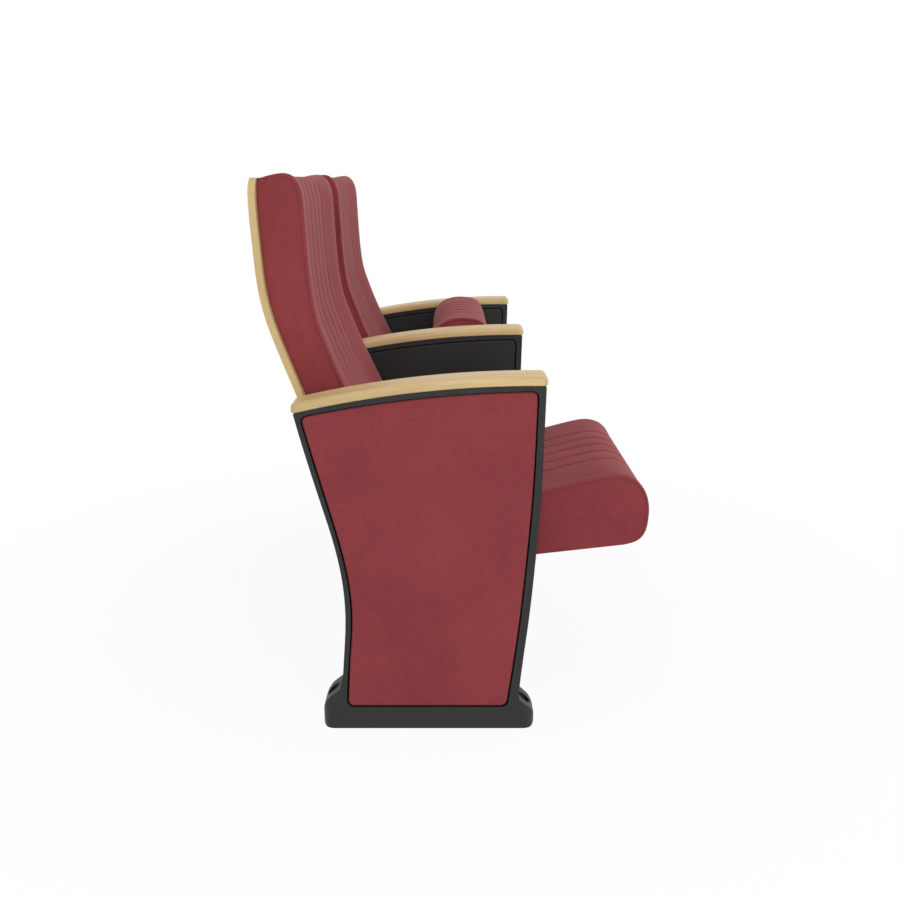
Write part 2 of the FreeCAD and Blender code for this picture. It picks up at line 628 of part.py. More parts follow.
def pad(y0, y1, round0, round1):
    """One stuffed strip of the seat between two sewn lines."""
    strip = slab(seat_edges(), y0, y1)
    for y, radius in ((y0, round0), (y1, round1)):
        rims = [e for e in edges_in_plane(strip, y) if e.BoundBox.ZMax > SEAT_BOTTOM + 1]
        strip = strip.makeFillet(radius, rims)
    return strip


def make_seat_cushion():
    lines = channel_places()
    stops = [-SEAT_HALF_WIDTH] + lines + [SEAT_HALF_WIDTH]
    strips = []
    for i in range(len(stops) - 1):
        round0 = SEAT_SIDE_ROUND if i == 0 else CHANNEL_ROUND
        round1 = SEAT_SIDE_ROUND if i == len(stops) - 2 else CHANNEL_ROUND
        strips.append(pad(stops[i], stops[i + 1], round0, round1))
    cushion = fused(strips)
    depth = PAN_DEPTH + SEAT_BOARD_THICKNESS
    recess = box((BOARD_U[0] - RECESS_GAP, BOARD_U[1] + RECESS_GAP),
                 (-BOARD_HALF_WIDTH - RECESS_GAP, BOARD_HALF_WIDTH + RECESS_GAP),
                 (SEAT_BOTTOM - 1, SEAT_BOTTOM + depth))
    return cushion.cut(recess).cut(flange_marks())


def flange_marks():
    """Shallow hollows under the cushion, where the brackets' flanges press the fabric in."""
    marks = []
    for side in (-1, 1):
        across = sorted((side * (FLANGE_IN - RECESS_GAP), side * (SEAT_HALF_WIDTH + 1)))
        marks.append(box((-EAR_HALF_LENGTH - RECESS_GAP, EAR_HALF_LENGTH + RECESS_GAP), across,
                         (SEAT_BOTTOM - 1, SEAT_BOTTOM + SEAM)))
    return Part.makeCompound(marks)


def board_blank(w0, w1, inset=0.0):
    """A plate with the seat board's plan."""
    blank = box((BOARD_U[0] + inset, BOARD_U[1] - inset),
                (-BOARD_HALF_WIDTH + inset, BOARD_HALF_WIDTH - inset), (w0, w1))
    upright = [e for e in blank.Edges if abs(e.BoundBox.ZLength - (w1 - w0)) < 0.01]
    return blank.makeFillet(BOARD_CORNER - inset, upright)


def hinge_screw_holes(radius):
    holes = []
    for u, y in HINGE_SCREWS:
        for side in (-1, 1):
            holes.append(rod(radius, V(u, side * y, SEAT_BOTTOM - 10), V(u, side * y, SEAT_BOTTOM + 40)))
    return Part.makeCompound(holes)


def make_seat_board():
    low = SEAT_BOTTOM + PAN_DEPTH
    return board_blank(low, low + SEAT_BOARD_THICKNESS).cut(hinge_screw_holes(SCREW_RADIUS + SCREW_FIT))


def make_seat_pan():
    top = SEAT_BOTTOM + PAN_DEPTH
    pan = board_blank(SEAT_BOTTOM, top)
    rim = [e for e in pan.Edges if abs(e.BoundBox.ZMax - SEAT_BOTTOM) < 0.01]
    pan = pan.makeFillet(2.0, rim)
    pan = pan.cut(board_blank(SEAT_BOTTOM + PAN_WALL, top + 1, PAN_WALL))
    towers = []
    for u, y in HINGE_SCREWS:
        for side in (-1, 1):
            towers.append(rod(10.0, V(u, side * y, SEAT_BOTTOM + 1), V(u, side * y, top)))
    for u in (-90, 140, 200):
        towers.append(box((u, u + 3), (-BOARD_HALF_WIDTH + 2, BOARD_HALF_WIDTH - 2),
                          (SEAT_BOTTOM + 1, top)))
    return fused([pan] + towers).cut(hinge_screw_holes(SCREW_RADIUS + SCREW_FIT))


def slot_cut(inner, outer, y0, y1):
    """The curved slot in a hinge ear in which the stop bolt travels."""
    mid_r = (inner + outer) / 2
    half = (outer - inner) / 2
    play = math.degrees(STOP_PLAY / STOP_RADIUS)
    a0 = STOP_ANGLE - TIP_RANGE - play
    a1 = STOP_ANGLE + play

    def polar(r, a):
        return (r * math.cos(math.radians(a)), r * math.sin(math.radians(a)))

    am = (a0 + a1) / 2
    band = [arc(polar(outer, a0), polar(outer, am), polar(outer, a1)),
            line(polar(outer, a1), polar(inner, a1)),
            arc(polar(inner, a1), polar(inner, am), polar(inner, a0)),
            line(polar(inner, a0), polar(outer, a0))]
    cut = [slab(band, y0, y1)]
    for a in (a0, a1):
        u, w = polar(mid_r, a)
        cut.append(rod_y(half, u, w, y0, y1))
    return fused(cut)


def make_hinge_bracket():
    """L-shaped steel bracket: an ear beside the seat and a flange under it."""
    low = SEAT_BOTTOM - FLANGE_THICKNESS
    shoulder = EAR_SHOULDER
    head = EAR_HEAD_RADIUS
    side = (head * math.cos(math.radians(20)), -head * math.sin(math.radians(20)))
    ear = slab([line((-EAR_HALF_LENGTH, low), (EAR_HALF_LENGTH, low)),
                line((EAR_HALF_LENGTH, low), (EAR_HALF_LENGTH, shoulder)),
                line((EAR_HALF_LENGTH, shoulder), side),
                arc(side, (0, head), (-side[0], side[1])),
                line((-side[0], side[1]), (-EAR_HALF_LENGTH, shoulder)),
                line((-EAR_HALF_LENGTH, shoulder), (-EAR_HALF_LENGTH, low))], EAR_IN, EAR_OUT)
    shoulders = near_point(along_y(ear), EAR_HALF_LENGTH, shoulder)
    shoulders += near_point(along_y(ear), -EAR_HALF_LENGTH, shoulder)
    ear = ear.makeFillet(10.0, shoulders)
    flange = box((-EAR_HALF_LENGTH, EAR_HALF_LENGTH), (FLANGE_IN, EAR_OUT), (low, SEAT_BOTTOM))
    inner_corners = [e for e in flange.Edges if abs(e.BoundBox.ZLength - FLANGE_THICKNESS) < 0.01
                     and abs(e.BoundBox.YMax - FLANGE_IN) < 0.01]
    flange = flange.makeFillet(14.0, inner_corners)
    angle = math.radians(SPRING_POST_ANGLE)
    post_u, post_w = SPRING_POST_AT * math.cos(angle), SPRING_POST_AT * math.sin(angle)
    post = rod_y(SPRING_POST_RADIUS, post_u, post_w, EAR_OUT - 1, EAR_OUT + 8)
    bracket = fused([ear, flange, post])
    outer_bend = [e for e in bracket.Edges if abs(e.BoundBox.YMin - EAR_OUT) < 0.01
                  and abs(e.BoundBox.YMax - EAR_OUT) < 0.01 and abs(e.BoundBox.ZMax - low) < 0.01]
    bracket = bracket.makeFillet(5.0, outer_bend)
    inner = STOP_RADIUS - STOP_SLEEVE_RADIUS - STOP_PLAY
    outer = STOP_RADIUS + STOP_SLEEVE_RADIUS + STOP_PLAY
    holes = [rod_y(BUSH_RADIUS, 0, 0, EAR_IN - 1, EAR_OUT + 1),
             slot_cut(inner, outer, EAR_IN - 1, EAR_OUT + 1)]
    return bracket.cut(Part.makeCompound(holes)).cut(hinge_screw_holes(SCREW_RADIUS + SCREW_FIT))


def make_bush():
    barrel = rod_y(BUSH_RADIUS - 0.03, 0, 0, EAR_IN - 1.2, EAR_OUT)
    flange = rod_y(BUSH_FLANGE_RADIUS, 0, 0, EAR_OUT, EAR_OUT + BUSH_FLANGE)
    bore = rod_y(PIN_RADIUS + BUSH_CLEARANCE, 0, 0, EAR_IN - 5, EAR_OUT + 5)
    return fused([barrel, flange]).cut(bore)


def hinge_screws():
    screws = []
    seat_face = SEAT_BOTTOM - FLANGE_THICKNESS
    for u, y in HINGE_SCREWS:
        for side in (-1, 1):
            head = rod(SCREW_HEAD_RADIUS, V(u, side * y, seat_face - 4.4), V(u, side * y, seat_face))
            shank = rod(SCREW_RADIUS - SCREW_BITE, V(u, side * y, seat_face),
                        V(u, side * y, SEAT_BOTTOM + PAN_DEPTH + SEAT_BOARD_THICKNESS - 1))
            socket = rod(2.6, V(u, side * y, seat_face - 5), V(u, side * y, seat_face - 2))
            screws.append(fused([head, shank]).cut(socket))
    return screws


# Backs

def back_rear_points():
    """Front face of the shell, where the cushion lies on it."""
    return offset_points(SHELL_REAR, SHELL_THICKNESS)


def make_shell():
    front = back_rear_points()
    shell = slab([curve(SHELL_REAR), line(SHELL_REAR[-1], front[-1]), curve(front),
                  line(front[0], SHELL_REAR[0])], -SHELL_HALF_WIDTH, SHELL_HALF_WIDTH)
    top = SHELL_REAR[0][1]
    keep = Part.makeBox(400, 2 * SHELL_HALF_WIDTH, 800)
    keep.translate(V(-400, -SHELL_HALF_WIDTH, top - 799))
    upper = [e for e in keep.Edges if abs(e.BoundBox.XLength - 400) < 0.01 and e.BoundBox.ZMin > top]
    shell = shell.common(keep.makeFillet(SHELL_CORNER, upper))
    holes = []
    for side in (-1, 1):
        for z in SHELL_SCREW_Z:
            holes.append(shell_normal_rod(3.1, z, side * SHELL_SCREW_Y, -1, SHELL_THICKNESS + 1))
        for z in BOARD_BOLT_Z:
            holes.append(shell_normal_rod(3.1, z, side * BOARD_BOLT_Y, -1, SHELL_THICKNESS + 1))
    return shell.cut(Part.makeCompound(holes))


def shell_frame(z):
    """A point on the shell's rear face at a height, and the way square to it, forward."""
    rear = curve(SHELL_REAR)
    high, low = rear.ParameterRange
    for _ in range(40):
        middle = (high + low) / 2
        if rear.valueAt(middle).z > z:
            high = middle
        else:
            low = middle
    run = rear.tangentAt(middle)
    return rear.valueAt(middle), V(-run.z, 0, run.x)


def shell_normal_rod(radius, z, y, start, end):
    """A round bar square to the shell, between distances forward of its rear face."""
    point, normal = shell_frame(z)
    point = point + V(0, y, 0)
    return rod(radius, point + normal * start, point + normal * end)


def back_section(recess, y):
    """Side-view outline of the back cushion, with its front face set back by recess."""
    rear = [p for p in back_rear_points() if p[1] > BACK_BOTTOM_REAR_Z]
    low_a, low_b = back_rear_points()[-2:]
    share = (BACK_BOTTOM_REAR_Z - low_a[1]) / (low_b[1] - low_a[1])
    rear.append((low_a[0] + (low_b[0] - low_a[0]) * share, BACK_BOTTOM_REAR_Z))
    front = []
    for x, z in BACK_FRONT + [BACK_FRONT_LOW, BACK_BOTTOM_FRONT]:
        fade = min(1.0, max(0.0, (990 - z) / 40.0))
        front.append((x - recess * fade, z))
    front = [rear[0]] + front
    wire = Part.Wire([curve(rear), line(rear[-1], front[-1]), curve(front)])
    wire.translate(V(0, y, 0))
    return wire


def back_strip(y0, y1):
    """One stuffed strip of the back's sunk middle."""
    face = Part.Face(back_section(BACK_RECESS, y0))
    strip = face.extrude(V(0, y1 - y0, 0))
    for y in (y0, y1):
        strip = strip.makeFillet(CHANNEL_ROUND, [longest(edges_in_plane(strip, y), front=True)])
    return strip


def longest(edges, front=False):
    """The longest edge, or the longest one that reaches the cushion's front."""
    if front:
        edges = [e for e in edges if e.BoundBox.ZMax > 900 and e.BoundBox.XMax > -100]
    return max(edges, key=lambda e: e.Length)


def back_bolster():
    """The raised side of the back, for positive y."""
    inner = channel_places()[-1]
    ramp = Part.makeLoft([back_section(BACK_RECESS, inner), back_section(0, BACK_CREST)], True, True)
    flat = Part.Face(back_section(0, BACK_CREST)).extrude(V(0, BACK_HALF_WIDTH - BACK_CREST, 0))
    ramp = ramp.makeFillet(CHANNEL_ROUND, [longest(edges_in_plane(ramp, inner), front=True)])
    flat = flat.makeFillet(BACK_SIDE_ROUND, [longest(edges_in_plane(flat, BACK_HALF_WIDTH), front=True)])
    return ramp.fuse(flat)


def make_back_cushion():
    lines = channel_places()
    strips = [back_strip(a, b) for a, b in zip(lines[:-1], lines[1:])]
    bolster = back_bolster()
    cushion = fused(strips + [bolster, mirrored(bolster)])
    return cushion.cut(back_board_blank(RECESS_GAP))


def back_board_blank(grow):
    """The bent board inside the back cushion, or the space for it."""
    rear = back_rear_points()
    front = offset_points(rear, BACK_BOARD_THICKNESS + grow)
    rear = offset_points(rear, -2.0) if grow else rear
    half = BACK_BOARD_HALF_WIDTH + grow
    board = slab([curve(rear), line(rear[-1], front[-1]), curve(front), line(front[0], rear[0])], -half, half)
    return board.common(box((-400, 0), (-half, half), (BACK_BOARD_Z[0] - grow, BACK_BOARD_Z[1] + grow)))


def make_back_board():
    holes = []
    for side in (-1, 1):
        for z in BOARD_BOLT_Z:
            holes.append(shell_normal_rod(3.0, z, side * BOARD_BOLT_Y, SHELL_THICKNESS - 1,
                                          SHELL_THICKNESS + BACK_BOARD_THICKNESS - 1))
    return back_board_blank(0).cut(Part.makeCompound(holes))


def board_bolts():
    """Screws through the shell into the cushion's board."""
    bolts = []
    for side in (-1, 1):
        for z in BOARD_BOLT_Z:
            y = side * BOARD_BOLT_Y
            head = shell_normal_rod(6.0, z, y, -3.2 - SEAM, -SEAM)
            shank = shell_normal_rod(2.95, z, y, -SEAM, SHELL_THICKNESS + BACK_BOARD_THICKNESS - 2)
            socket = shell_normal_rod(2.0, z, y, -4, -1.5)
            bolts.append(fused([head, shank]).cut(socket))
    return bolts


def bracket_outline(behind, ahead):
    """Side-view outline that follows the shell between distances from its rear face."""
    corners = []
    low, high = BRACKET_Z
    for z, gap in ((low, behind), (low, ahead), (high, ahead), (high, behind)):
        point, normal = shell_frame(z)
        corner = point + normal * gap
        corners.append((corner.x, corner.z))
    return [line(a, b) for a, b in zip(corners, corners[1:] + corners[:1])]


def make_back_bracket():
    """Angle bracket for positive y: a plate on the standard, a flange behind the shell."""
    plate_in = STANDARD_FACE - BRACKET_THICKNESS
    behind = -BRACKET_THICKNESS - SEAM
    plate = slab(bracket_outline(behind, BRACKET_FORWARD), plate_in, STANDARD_FACE)
    plate = plate.makeFillet(12.0, sorted(along_y(plate), key=lambda e: -e.Vertexes[0].X)[:2])
    flange = slab(bracket_outline(behind, -SEAM), BRACKET_FLANGE_IN, STANDARD_FACE)
    holes = [rod_y(SCREW_RADIUS + SCREW_FIT, x, z, plate_in - 1, STANDARD_FACE + 1)
             for x, z in BRACKET_BOLTS]
    for z in SHELL_SCREW_Z:
        holes.append(shell_normal_rod(3.1, z, SHELL_SCREW_Y, -BRACKET_THICKNESS - 1, 1))
    return fused([plate, flange]).cut(Part.makeCompound(holes))


def bracket_bolts(side):
    """Bolts that hold a back bracket to the standard."""
    bolts = []
    face = STANDARD_FACE - BRACKET_THICKNESS
    for x, z in BRACKET_BOLTS:
        head = rod_y(SCREW_HEAD_RADIUS, x, z, face - 4.2, face)
        bolt = fused([head, rod_y(SCREW_RADIUS - SCREW_BITE, x, z, face, STANDARD_FACE + 16)])
        bolt = bolt.cut(rod_y(2.6, x, z, face - 5, face - 2))
        bolts.append(bolt if side > 0 else mirrored(bolt))
    return bolts


def shell_screws(side):
    """Screws from a back bracket into the shell."""
    screws = []
    for z in SHELL_SCREW_Z:
        y = side * SHELL_SCREW_Y
        face = -BRACKET_THICKNESS - SEAM
        head = shell_normal_rod(5.5, z, y, face - 3, face)
        shank = shell_normal_rod(2.95, z, y, face, SHELL_THICKNESS - 1)
        screws.append(fused([head, shank]))
    return screws


# Writing the pieces out

def moved(solid, y):
    solid = solid.copy()
    solid.translate(V(0, y, 0))
    return solid


def write_standards():
    foot = make_foot()
    arm = make_armrest()
    clips, screws, foot_screws = [], [], []
    for standard, y in STANDARD_Y.items():
        write("foot_" + standard, moved(foot, y))
        write("frame_" + standard, moved(make_frame(standard), y))
        write("armrest_" + standard, moved(arm_holes(arm, standard), y))
        for side in (-1, 1):
            for piece, solid in panel_pieces(standard, side).items():
                end = {-1: "_near_side", 1: "_far_side"}[side] if standard == "middle" else ""
                write(piece + "_" + standard + end, moved(solid, y))
            clips += [moved(c, y) for c in panel_clips(standard, side)]
        screws += [moved(s, y) for s in arm_screws(standard)]
        foot_screws += [moved(s, y) for s in make_foot_screws()]
    write("panel_clips", *clips)
    write("armrest_screws", *screws)
    write("foot_screws", *foot_screws)


def write_seats():
    pieces = {"seat_cushion": make_seat_cushion(), "seat_board": make_seat_board(),
              "seat_pan": make_seat_pan()}
    bracket, bush = make_hinge_bracket(), make_bush()
    for seat in SEAT_Y:
        for name, solid in pieces.items():
            write(name + "_" + seat, placed(solid, seat))
        write("hinge_bracket_left_" + seat, placed(bracket, seat))
        write("hinge_bracket_right_" + seat, placed(mirrored(bracket), seat))
        write("hinge_bushes_" + seat, placed(bush, seat), placed(mirrored(bush), seat))
        write("hinge_screws_" + seat, *[placed(s, seat) for s in hinge_screws()])


def write_hinges():
    pin, ring, bolt, sleeve = make_pin(), make_retaining_ring(), make_stop_bolt(), make_stop_sleeve()
    rings, bolts, sleeves = [], [], []
    for seat, y in SEAT_Y.items():
        spring = make_spring(SEAT_TURN[seat])
        for hand, flip in (("left", False), ("right", True)):
            set_ = [mirrored(s) if flip else s for s in (pin, ring, bolt, sleeve, spring)]
            set_ = [moved(s, y) for s in set_]
            write("pivot_pin_%s_%s" % (hand, seat), set_[0])
            write("helper_spring_%s_%s" % (hand, seat), set_[4])
            rings.append(set_[1])
            bolts.append(set_[2])
            sleeves.append(set_[3])
    write("pin_rings", *rings)
    write("stop_bolts", *bolts)
    write("stop_sleeves", *sleeves)


def write_backs():
    shell, cushion, board = make_shell(), make_back_cushion(), make_back_board()
    bracket = make_back_bracket()
    bolts, screws, board_screws = [], [], []
    for seat, y in SEAT_Y.items():
        write("back_shell_" + seat, moved(shell, y))
        write("back_cushion_" + seat, moved(cushion, y))
        write("back_board_" + seat, moved(board, y))
        write("back_bracket_left_" + seat, moved(bracket, y))
        write("back_bracket_right_" + seat, moved(mirrored(bracket), y))
        for side in (-1, 1):
            bolts += [moved(s, y) for s in bracket_bolts(side)]
            screws += [moved(s, y) for s in shell_screws(side)]
        board_screws += [moved(s, y) for s in board_bolts()]
    write("bracket_bolts", *bolts)
    write("shell_screws", *screws)
    write("back_board_screws", *board_screws)


os.makedirs(STEP_DIR, exist_ok=True)
write_standards()
write_seats()
write_hinges()
write_backs()
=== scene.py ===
import math

import bmesh
import bpy
import numpy as np
from bpy.props import FloatProperty, FloatVectorProperty, IntProperty, PointerProperty
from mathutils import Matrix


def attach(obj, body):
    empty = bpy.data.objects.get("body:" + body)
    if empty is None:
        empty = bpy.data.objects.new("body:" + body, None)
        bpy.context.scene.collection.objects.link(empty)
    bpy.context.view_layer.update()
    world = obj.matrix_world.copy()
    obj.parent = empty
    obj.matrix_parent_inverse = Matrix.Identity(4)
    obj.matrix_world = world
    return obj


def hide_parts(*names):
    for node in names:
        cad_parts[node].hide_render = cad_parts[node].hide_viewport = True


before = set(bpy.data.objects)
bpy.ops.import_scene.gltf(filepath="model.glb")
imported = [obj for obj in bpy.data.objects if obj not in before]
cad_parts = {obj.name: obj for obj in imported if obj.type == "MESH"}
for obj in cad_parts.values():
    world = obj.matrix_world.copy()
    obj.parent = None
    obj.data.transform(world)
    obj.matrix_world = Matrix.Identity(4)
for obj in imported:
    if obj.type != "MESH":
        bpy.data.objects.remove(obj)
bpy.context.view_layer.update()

bl_info = {
    "name": "Tip up seats: looks",
    "version": (1, 0, 0),
    "blender": (4, 5, 0),
    "location": "3D View > Sidebar > Tip up seats",
    "description": "Upholstery, finishes and stage for a bank of two tip up auditorium seats",
    "category": "Object",
}

# The row's frame: +X forward, +Y along the row, +Z up. Sizes below are in millimetres
# unless a property says otherwise, and meshes are made in metres.

MM = 0.001
STANDARD_PITCH = 580.0
SEATS = ("near", "far")
SEAT_BODY = {"near": "near_seat", "far": "far_seat"}
SEAT_Y = {"near": -STANDARD_PITCH / 2, "far": STANDARD_PITCH / 2}
SEAT_RISE = 6.66       # degrees that a lowered seat's underside rises to the front
SEAT_TURN = {"near": SEAT_RISE, "far": SEAT_RISE + 90}
PIVOT = (95.0, 355.0)
END_STANDARDS = {"near": (-STANDARD_PITCH, -1), "far": (STANDARD_PITCH, 1)}      # place, and outer side

# Seat cushion, in the seat's own axes: u forward along the underside, w square to it
SEAT_TOP = [(-60, 46.5), (20, 47.5), (80, 51), (135, 56.5), (190, 64), (232, 69), (267, 67),
            (292, 51.5), (305, 26.8), (308, 2), (305.2, -21), (299, -42.8), (286.8, -58),
            (268, -64.2), (246, -65)]
SEAT_REAR, SEAT_REAR_TOP, SEAT_BOTTOM = -142.0, 46.0, -65.0
SEAT_REAR_ROUND, SEAT_LOW_ROUND = 18.0, 8.0
SEAT_HALF_WIDTH = 230.0
SEAT_SPINE = [(-82, -10), (-20, -8), (120, -4), (228, 0)]      # middle line of a side panel
SEAT_LINE_FOOT = (-40.0, -5.0)       # height at the nose where a sewn line starts and is full
SEAT_LINE_REAR = 40.0                # distance from the rear where it is full
SEAT_LOW_WEIGHT = 0.35               # share of the side edge's round along the underside
BOARD_U = (-132.0, 229.0)            # hollow for the board
BOARD_HALF_WIDTH = 207.0
BOARD_TOP = -42.2
HOLLOW_LIPS = (0.4, 1.2)             # rings beside the hollow that keep its edge sharp

# Back cushion, from the side
SHELL_REAR = [(-295.5, 971), (-297, 935), (-295, 885), (-291.8, 837), (-286, 780), (-276.5, 737),
              (-258.9, 684.4), (-228.4, 603.7), (-189.2, 500), (-149.8, 395.8)]
SHELL_THICKNESS = 12.0
SHELL_GAP = 0.3
BACK_FRONT = [(-283.2, 969.5), (-275, 971.8), (-260, 975.6), (-244, 978.2), (-231, 977.2),
              (-219.8, 968.5), (-211.5, 951), (-207.6, 920), (-206, 885), (-203, 830),
              (-198.5, 780), (-191, 735), (-178, 696), (-159.5, 648), (-124, 570), (-60, 428)]
BACK_BOTTOM_REAR = (-143.8, 412)
BACK_HALF_WIDTH = 237.0
BACK_FLAT, BACK_CREST = 107.0, 221.0             # half widths of the sunk middle and between the crests
BACK_SPINE_TOP = [(-274, 961), (-262, 949)]      # middle line of a side panel, above the heights below
BACK_SPINE_HEIGHTS = (935.0, 455.0)
BACK_LINE_FOOT = (585.0, 660.0)                  # height where a sewn line starts and is full
BACK_LINE_TOP = (-268.0, -240.0)                 # place over the top where it ends and is full
BACK_SUNK_TOP = (-284.0, -255.0)                 # place over the top where the middle sinks
BACK_SUNK_FOOT = (412.0, 440.0)                  # height where it sinks
BACK_SUNK_LIMIT, BACK_SUNK_RUN = 990.0, 40.0     # height above which it would end, and over how much
BACK_DIP_HEIGHT = (940.0, 972.0)                 # where the top's middle dips
BACK_DIP_PLACE = (-286.0, -262.0)
BACK_DIP_SHARE = 0.3                             # of the recess
BACK_REAR_WEIGHT = 0.15                          # share of the side edge's round at the shell

# Outer panels, from the side
PANEL_REAR = [(-213.2, 580), (-194, 507.5), (-174.6, 436.3), (-155.2, 363.6), (-140, 289.4),
              (-134.8, 213.6), (-139.9, 136.1), (-145.3, 45)]
PANEL_FRONT = [(185.8, 624), (183.8, 542.5), (179.8, 436.3), (172, 326.7), (162, 213.6),
               (153, 136.1), (140.6, 45)]
PANEL_TOP_MIDDLE = (5, 614)
PANEL_MIDDLE = (-5.0, 330.0)
PANEL_CORNER = 10.0
PANEL_FACE, PANEL_BACK = 29.0, 11.0
PANEL_EDGE_ROUND = 2.6
PANEL_CROWN = 0.4

# Rings of a cushion's skin, across its width
LINE_STEPS = (0.7, 1.5, 2.6, 4.5, 7.5, 12, 18)         # distances of the rings beside a sewn line
EDGE_TURNS = (15, 30, 45, 60, 75, 90)                  # degrees round a side edge
SEAM_STEPS = ((0.3, 0.5), (0.8, 1.0), (1.3, 0.5), (2.2, 0.1), (5, 0))      # inset, share of the depth
SIDE_SHARES = (0.08, 0.18, 0.32, 0.48, 0.64, 0.8, 0.92, 1.0)      # of the way from seam to spine
SPINE_REACH = 0.985                                    # share of the way to the spine of the last ring
SEAM_RING = len(EDGE_TURNS) + 1                        # the ring at the bottom of the seam
SIDE_RINGS = len(SIDE_SHARES)

# Sewn lines and the cloth between them
GROOVE_WIDTH, GROOVE_POWER = 2.1, 1.05      # how fast a groove grows shallow beside its line
SEWN_SHADE_WIDTH = 1.1                   # width of the painted shade along a sewn line, which stands for the shade in its groove
SEAM_SHADE = 0.22                     # how dark the painted shade in the plain seam is, beside that along a sewn line
SEAM_WIDTH = 0.8                     # width of the seam's painted shade, in rings
RIM_REACH = 40.0                     # distance over which the swell fades towards a side edge
RIM_SWELL = 0.3                      # share of the swell that is left there
TRIAL_GAP, TRIAL_SEWN_GAP = 5.5, 2.0      # least distances between the rings of the stuffing trial
TRIAL_MOMENTS = 20
SIDE_BLEND = 14.0                    # distance over which the middle of a side panel is evened out

# Stage, in metres: each lamp's size, place and the point that it faces
KEY_LAMP = (2.2, (0.6, -3.6, 2.0), (0.0, -0.3, 0.5))
TOP_LAMP = (2.4, (0.6, -0.4, 3.4), (0.0, 0.0, 0.4))
SIDE_LAMP = (2.0, (3.4, 0.9, 1.7), (0.0, 0.0, 0.5))
SIDE_LAMP_SHARE = 0.5                # of the key lamp's power
FLOOR_HALF = 30.0
FLOOR_DROP = 0.0005
FLOOR_GLOW = 0.93                    # white that the floor shows by itself near the seats
FLOOR_GLOW_REACH = (0.4, 1.6)        # distances over which it becomes all white
CAMERA_PLACE = (0.0345, -2.2798, 0.9662)
CAMERA_DIP = 14.8                    # degrees below level
CAMERA_LENS, CAMERA_SENSOR, CAMERA_SHIFT = 40.8, 36.0, 0.0026
WHITE = (1.0, 1.0, 1.0)


# Sizes and colours that a user would change

class UpholsterySizes(bpy.types.PropertyGroup):
    channel_pitch: FloatProperty(
        name="Channel pitch", description="Distance between two sewn lines", default=0.0535,
        unit="LENGTH")
    back_pitch: FloatProperty(
        name="Back pitch", description="Distance between two sewn lines of the back", default=0.057,
        unit="LENGTH")
    channel_count: IntProperty(
        name="Sewn lines", description="Sewn lines down the middle of a cushion", default=5, min=1)
    channel_depth: FloatProperty(
        name="Channel depth", description="How far a sewn line is drawn in", default=0.0042,
        unit="LENGTH")
    crown: FloatProperty(
        name="Crown", description="Rise between two sewn lines where the cloth isn't simulated",
        default=0.0014, unit="LENGTH")
    swell: FloatProperty(
        name="Swell", description="Most that the stuffed cloth may rise over a cushion's face",
        default=0.0016, unit="LENGTH")
    side_crown: FloatProperty(
        name="Side crown", description="Most that a cushion's side panel swells", default=0.0034,
        unit="LENGTH")
    stuffing: FloatProperty(
        name="Stuffing", description="Pressure of the padding on its cloth", default=4.0, min=0)
    seat_side_round: FloatProperty(
        name="Seat edge", description="Radius of the seat cushion's side edges", default=0.0032,
        unit="LENGTH")
    back_side_round: FloatProperty(
        name="Back edge", description="Radius of the back cushion's front edges", default=0.0038,
        unit="LENGTH")
    stitch_pitch: FloatProperty(
        name="Stitch", description="Length of one stitch along a sewn line", default=0.0045,
        unit="LENGTH")
    back_recess: FloatProperty(
        name="Back recess", description="Depth of the back's middle behind its bolsters",
        default=0.012, unit="LENGTH")
    seam_depth: FloatProperty(
        name="Seam depth", description="Depth of the plain seam round a side panel",
        default=0.0006, unit="LENGTH")


class FinishColours(bpy.types.PropertyGroup):
    fabric: FloatVectorProperty(
        name="Fabric", description="Woven red cloth", subtype="COLOR", size=3, min=0, max=1,
        default=(0.262, 0.043, 0.049))
    ash: FloatVectorProperty(
        name="Ash", description="Pale lacquered arm and shell wood", subtype="COLOR", size=3,
        min=0, max=1, default=(0.69, 0.505, 0.24))
    casting: FloatVectorProperty(
        name="Casting", description="Charcoal powder coat of frames and feet", subtype="COLOR",
        size=3, min=0, max=1, default=(0.019, 0.0195, 0.019))
    moulding: FloatVectorProperty(
        name="Moulding", description="Black plastic of inner panels and seat pans",
        subtype="COLOR", size=3, min=0, max=1, default=(0.0145, 0.0147, 0.0148))
    plated: FloatVectorProperty(
        name="Plated steel", description="Zinc plated pins and bolts", subtype="COLOR", size=3,
        min=0, max=1, default=(0.55, 0.55, 0.56))


class StageSettings(bpy.types.PropertyGroup):
    surround: FloatProperty(
        name="Surround light", description="Strength of the even light from all round",
        default=0.5, min=0)
    key: FloatProperty(
        name="Key lamp", description="Power of the broad lamp beside the camera", default=45,
        min=0, unit="POWER")
    top: FloatProperty(
        name="Top lamp", description="Power of the broad lamp overhead", default=15, min=0,
        unit="POWER")


# Outlines

def run_along(points):
    """The distance travelled along a line at each of its points."""
    return np.concatenate([[0.0], np.cumsum(np.hypot(*np.diff(points, axis=0).T))])


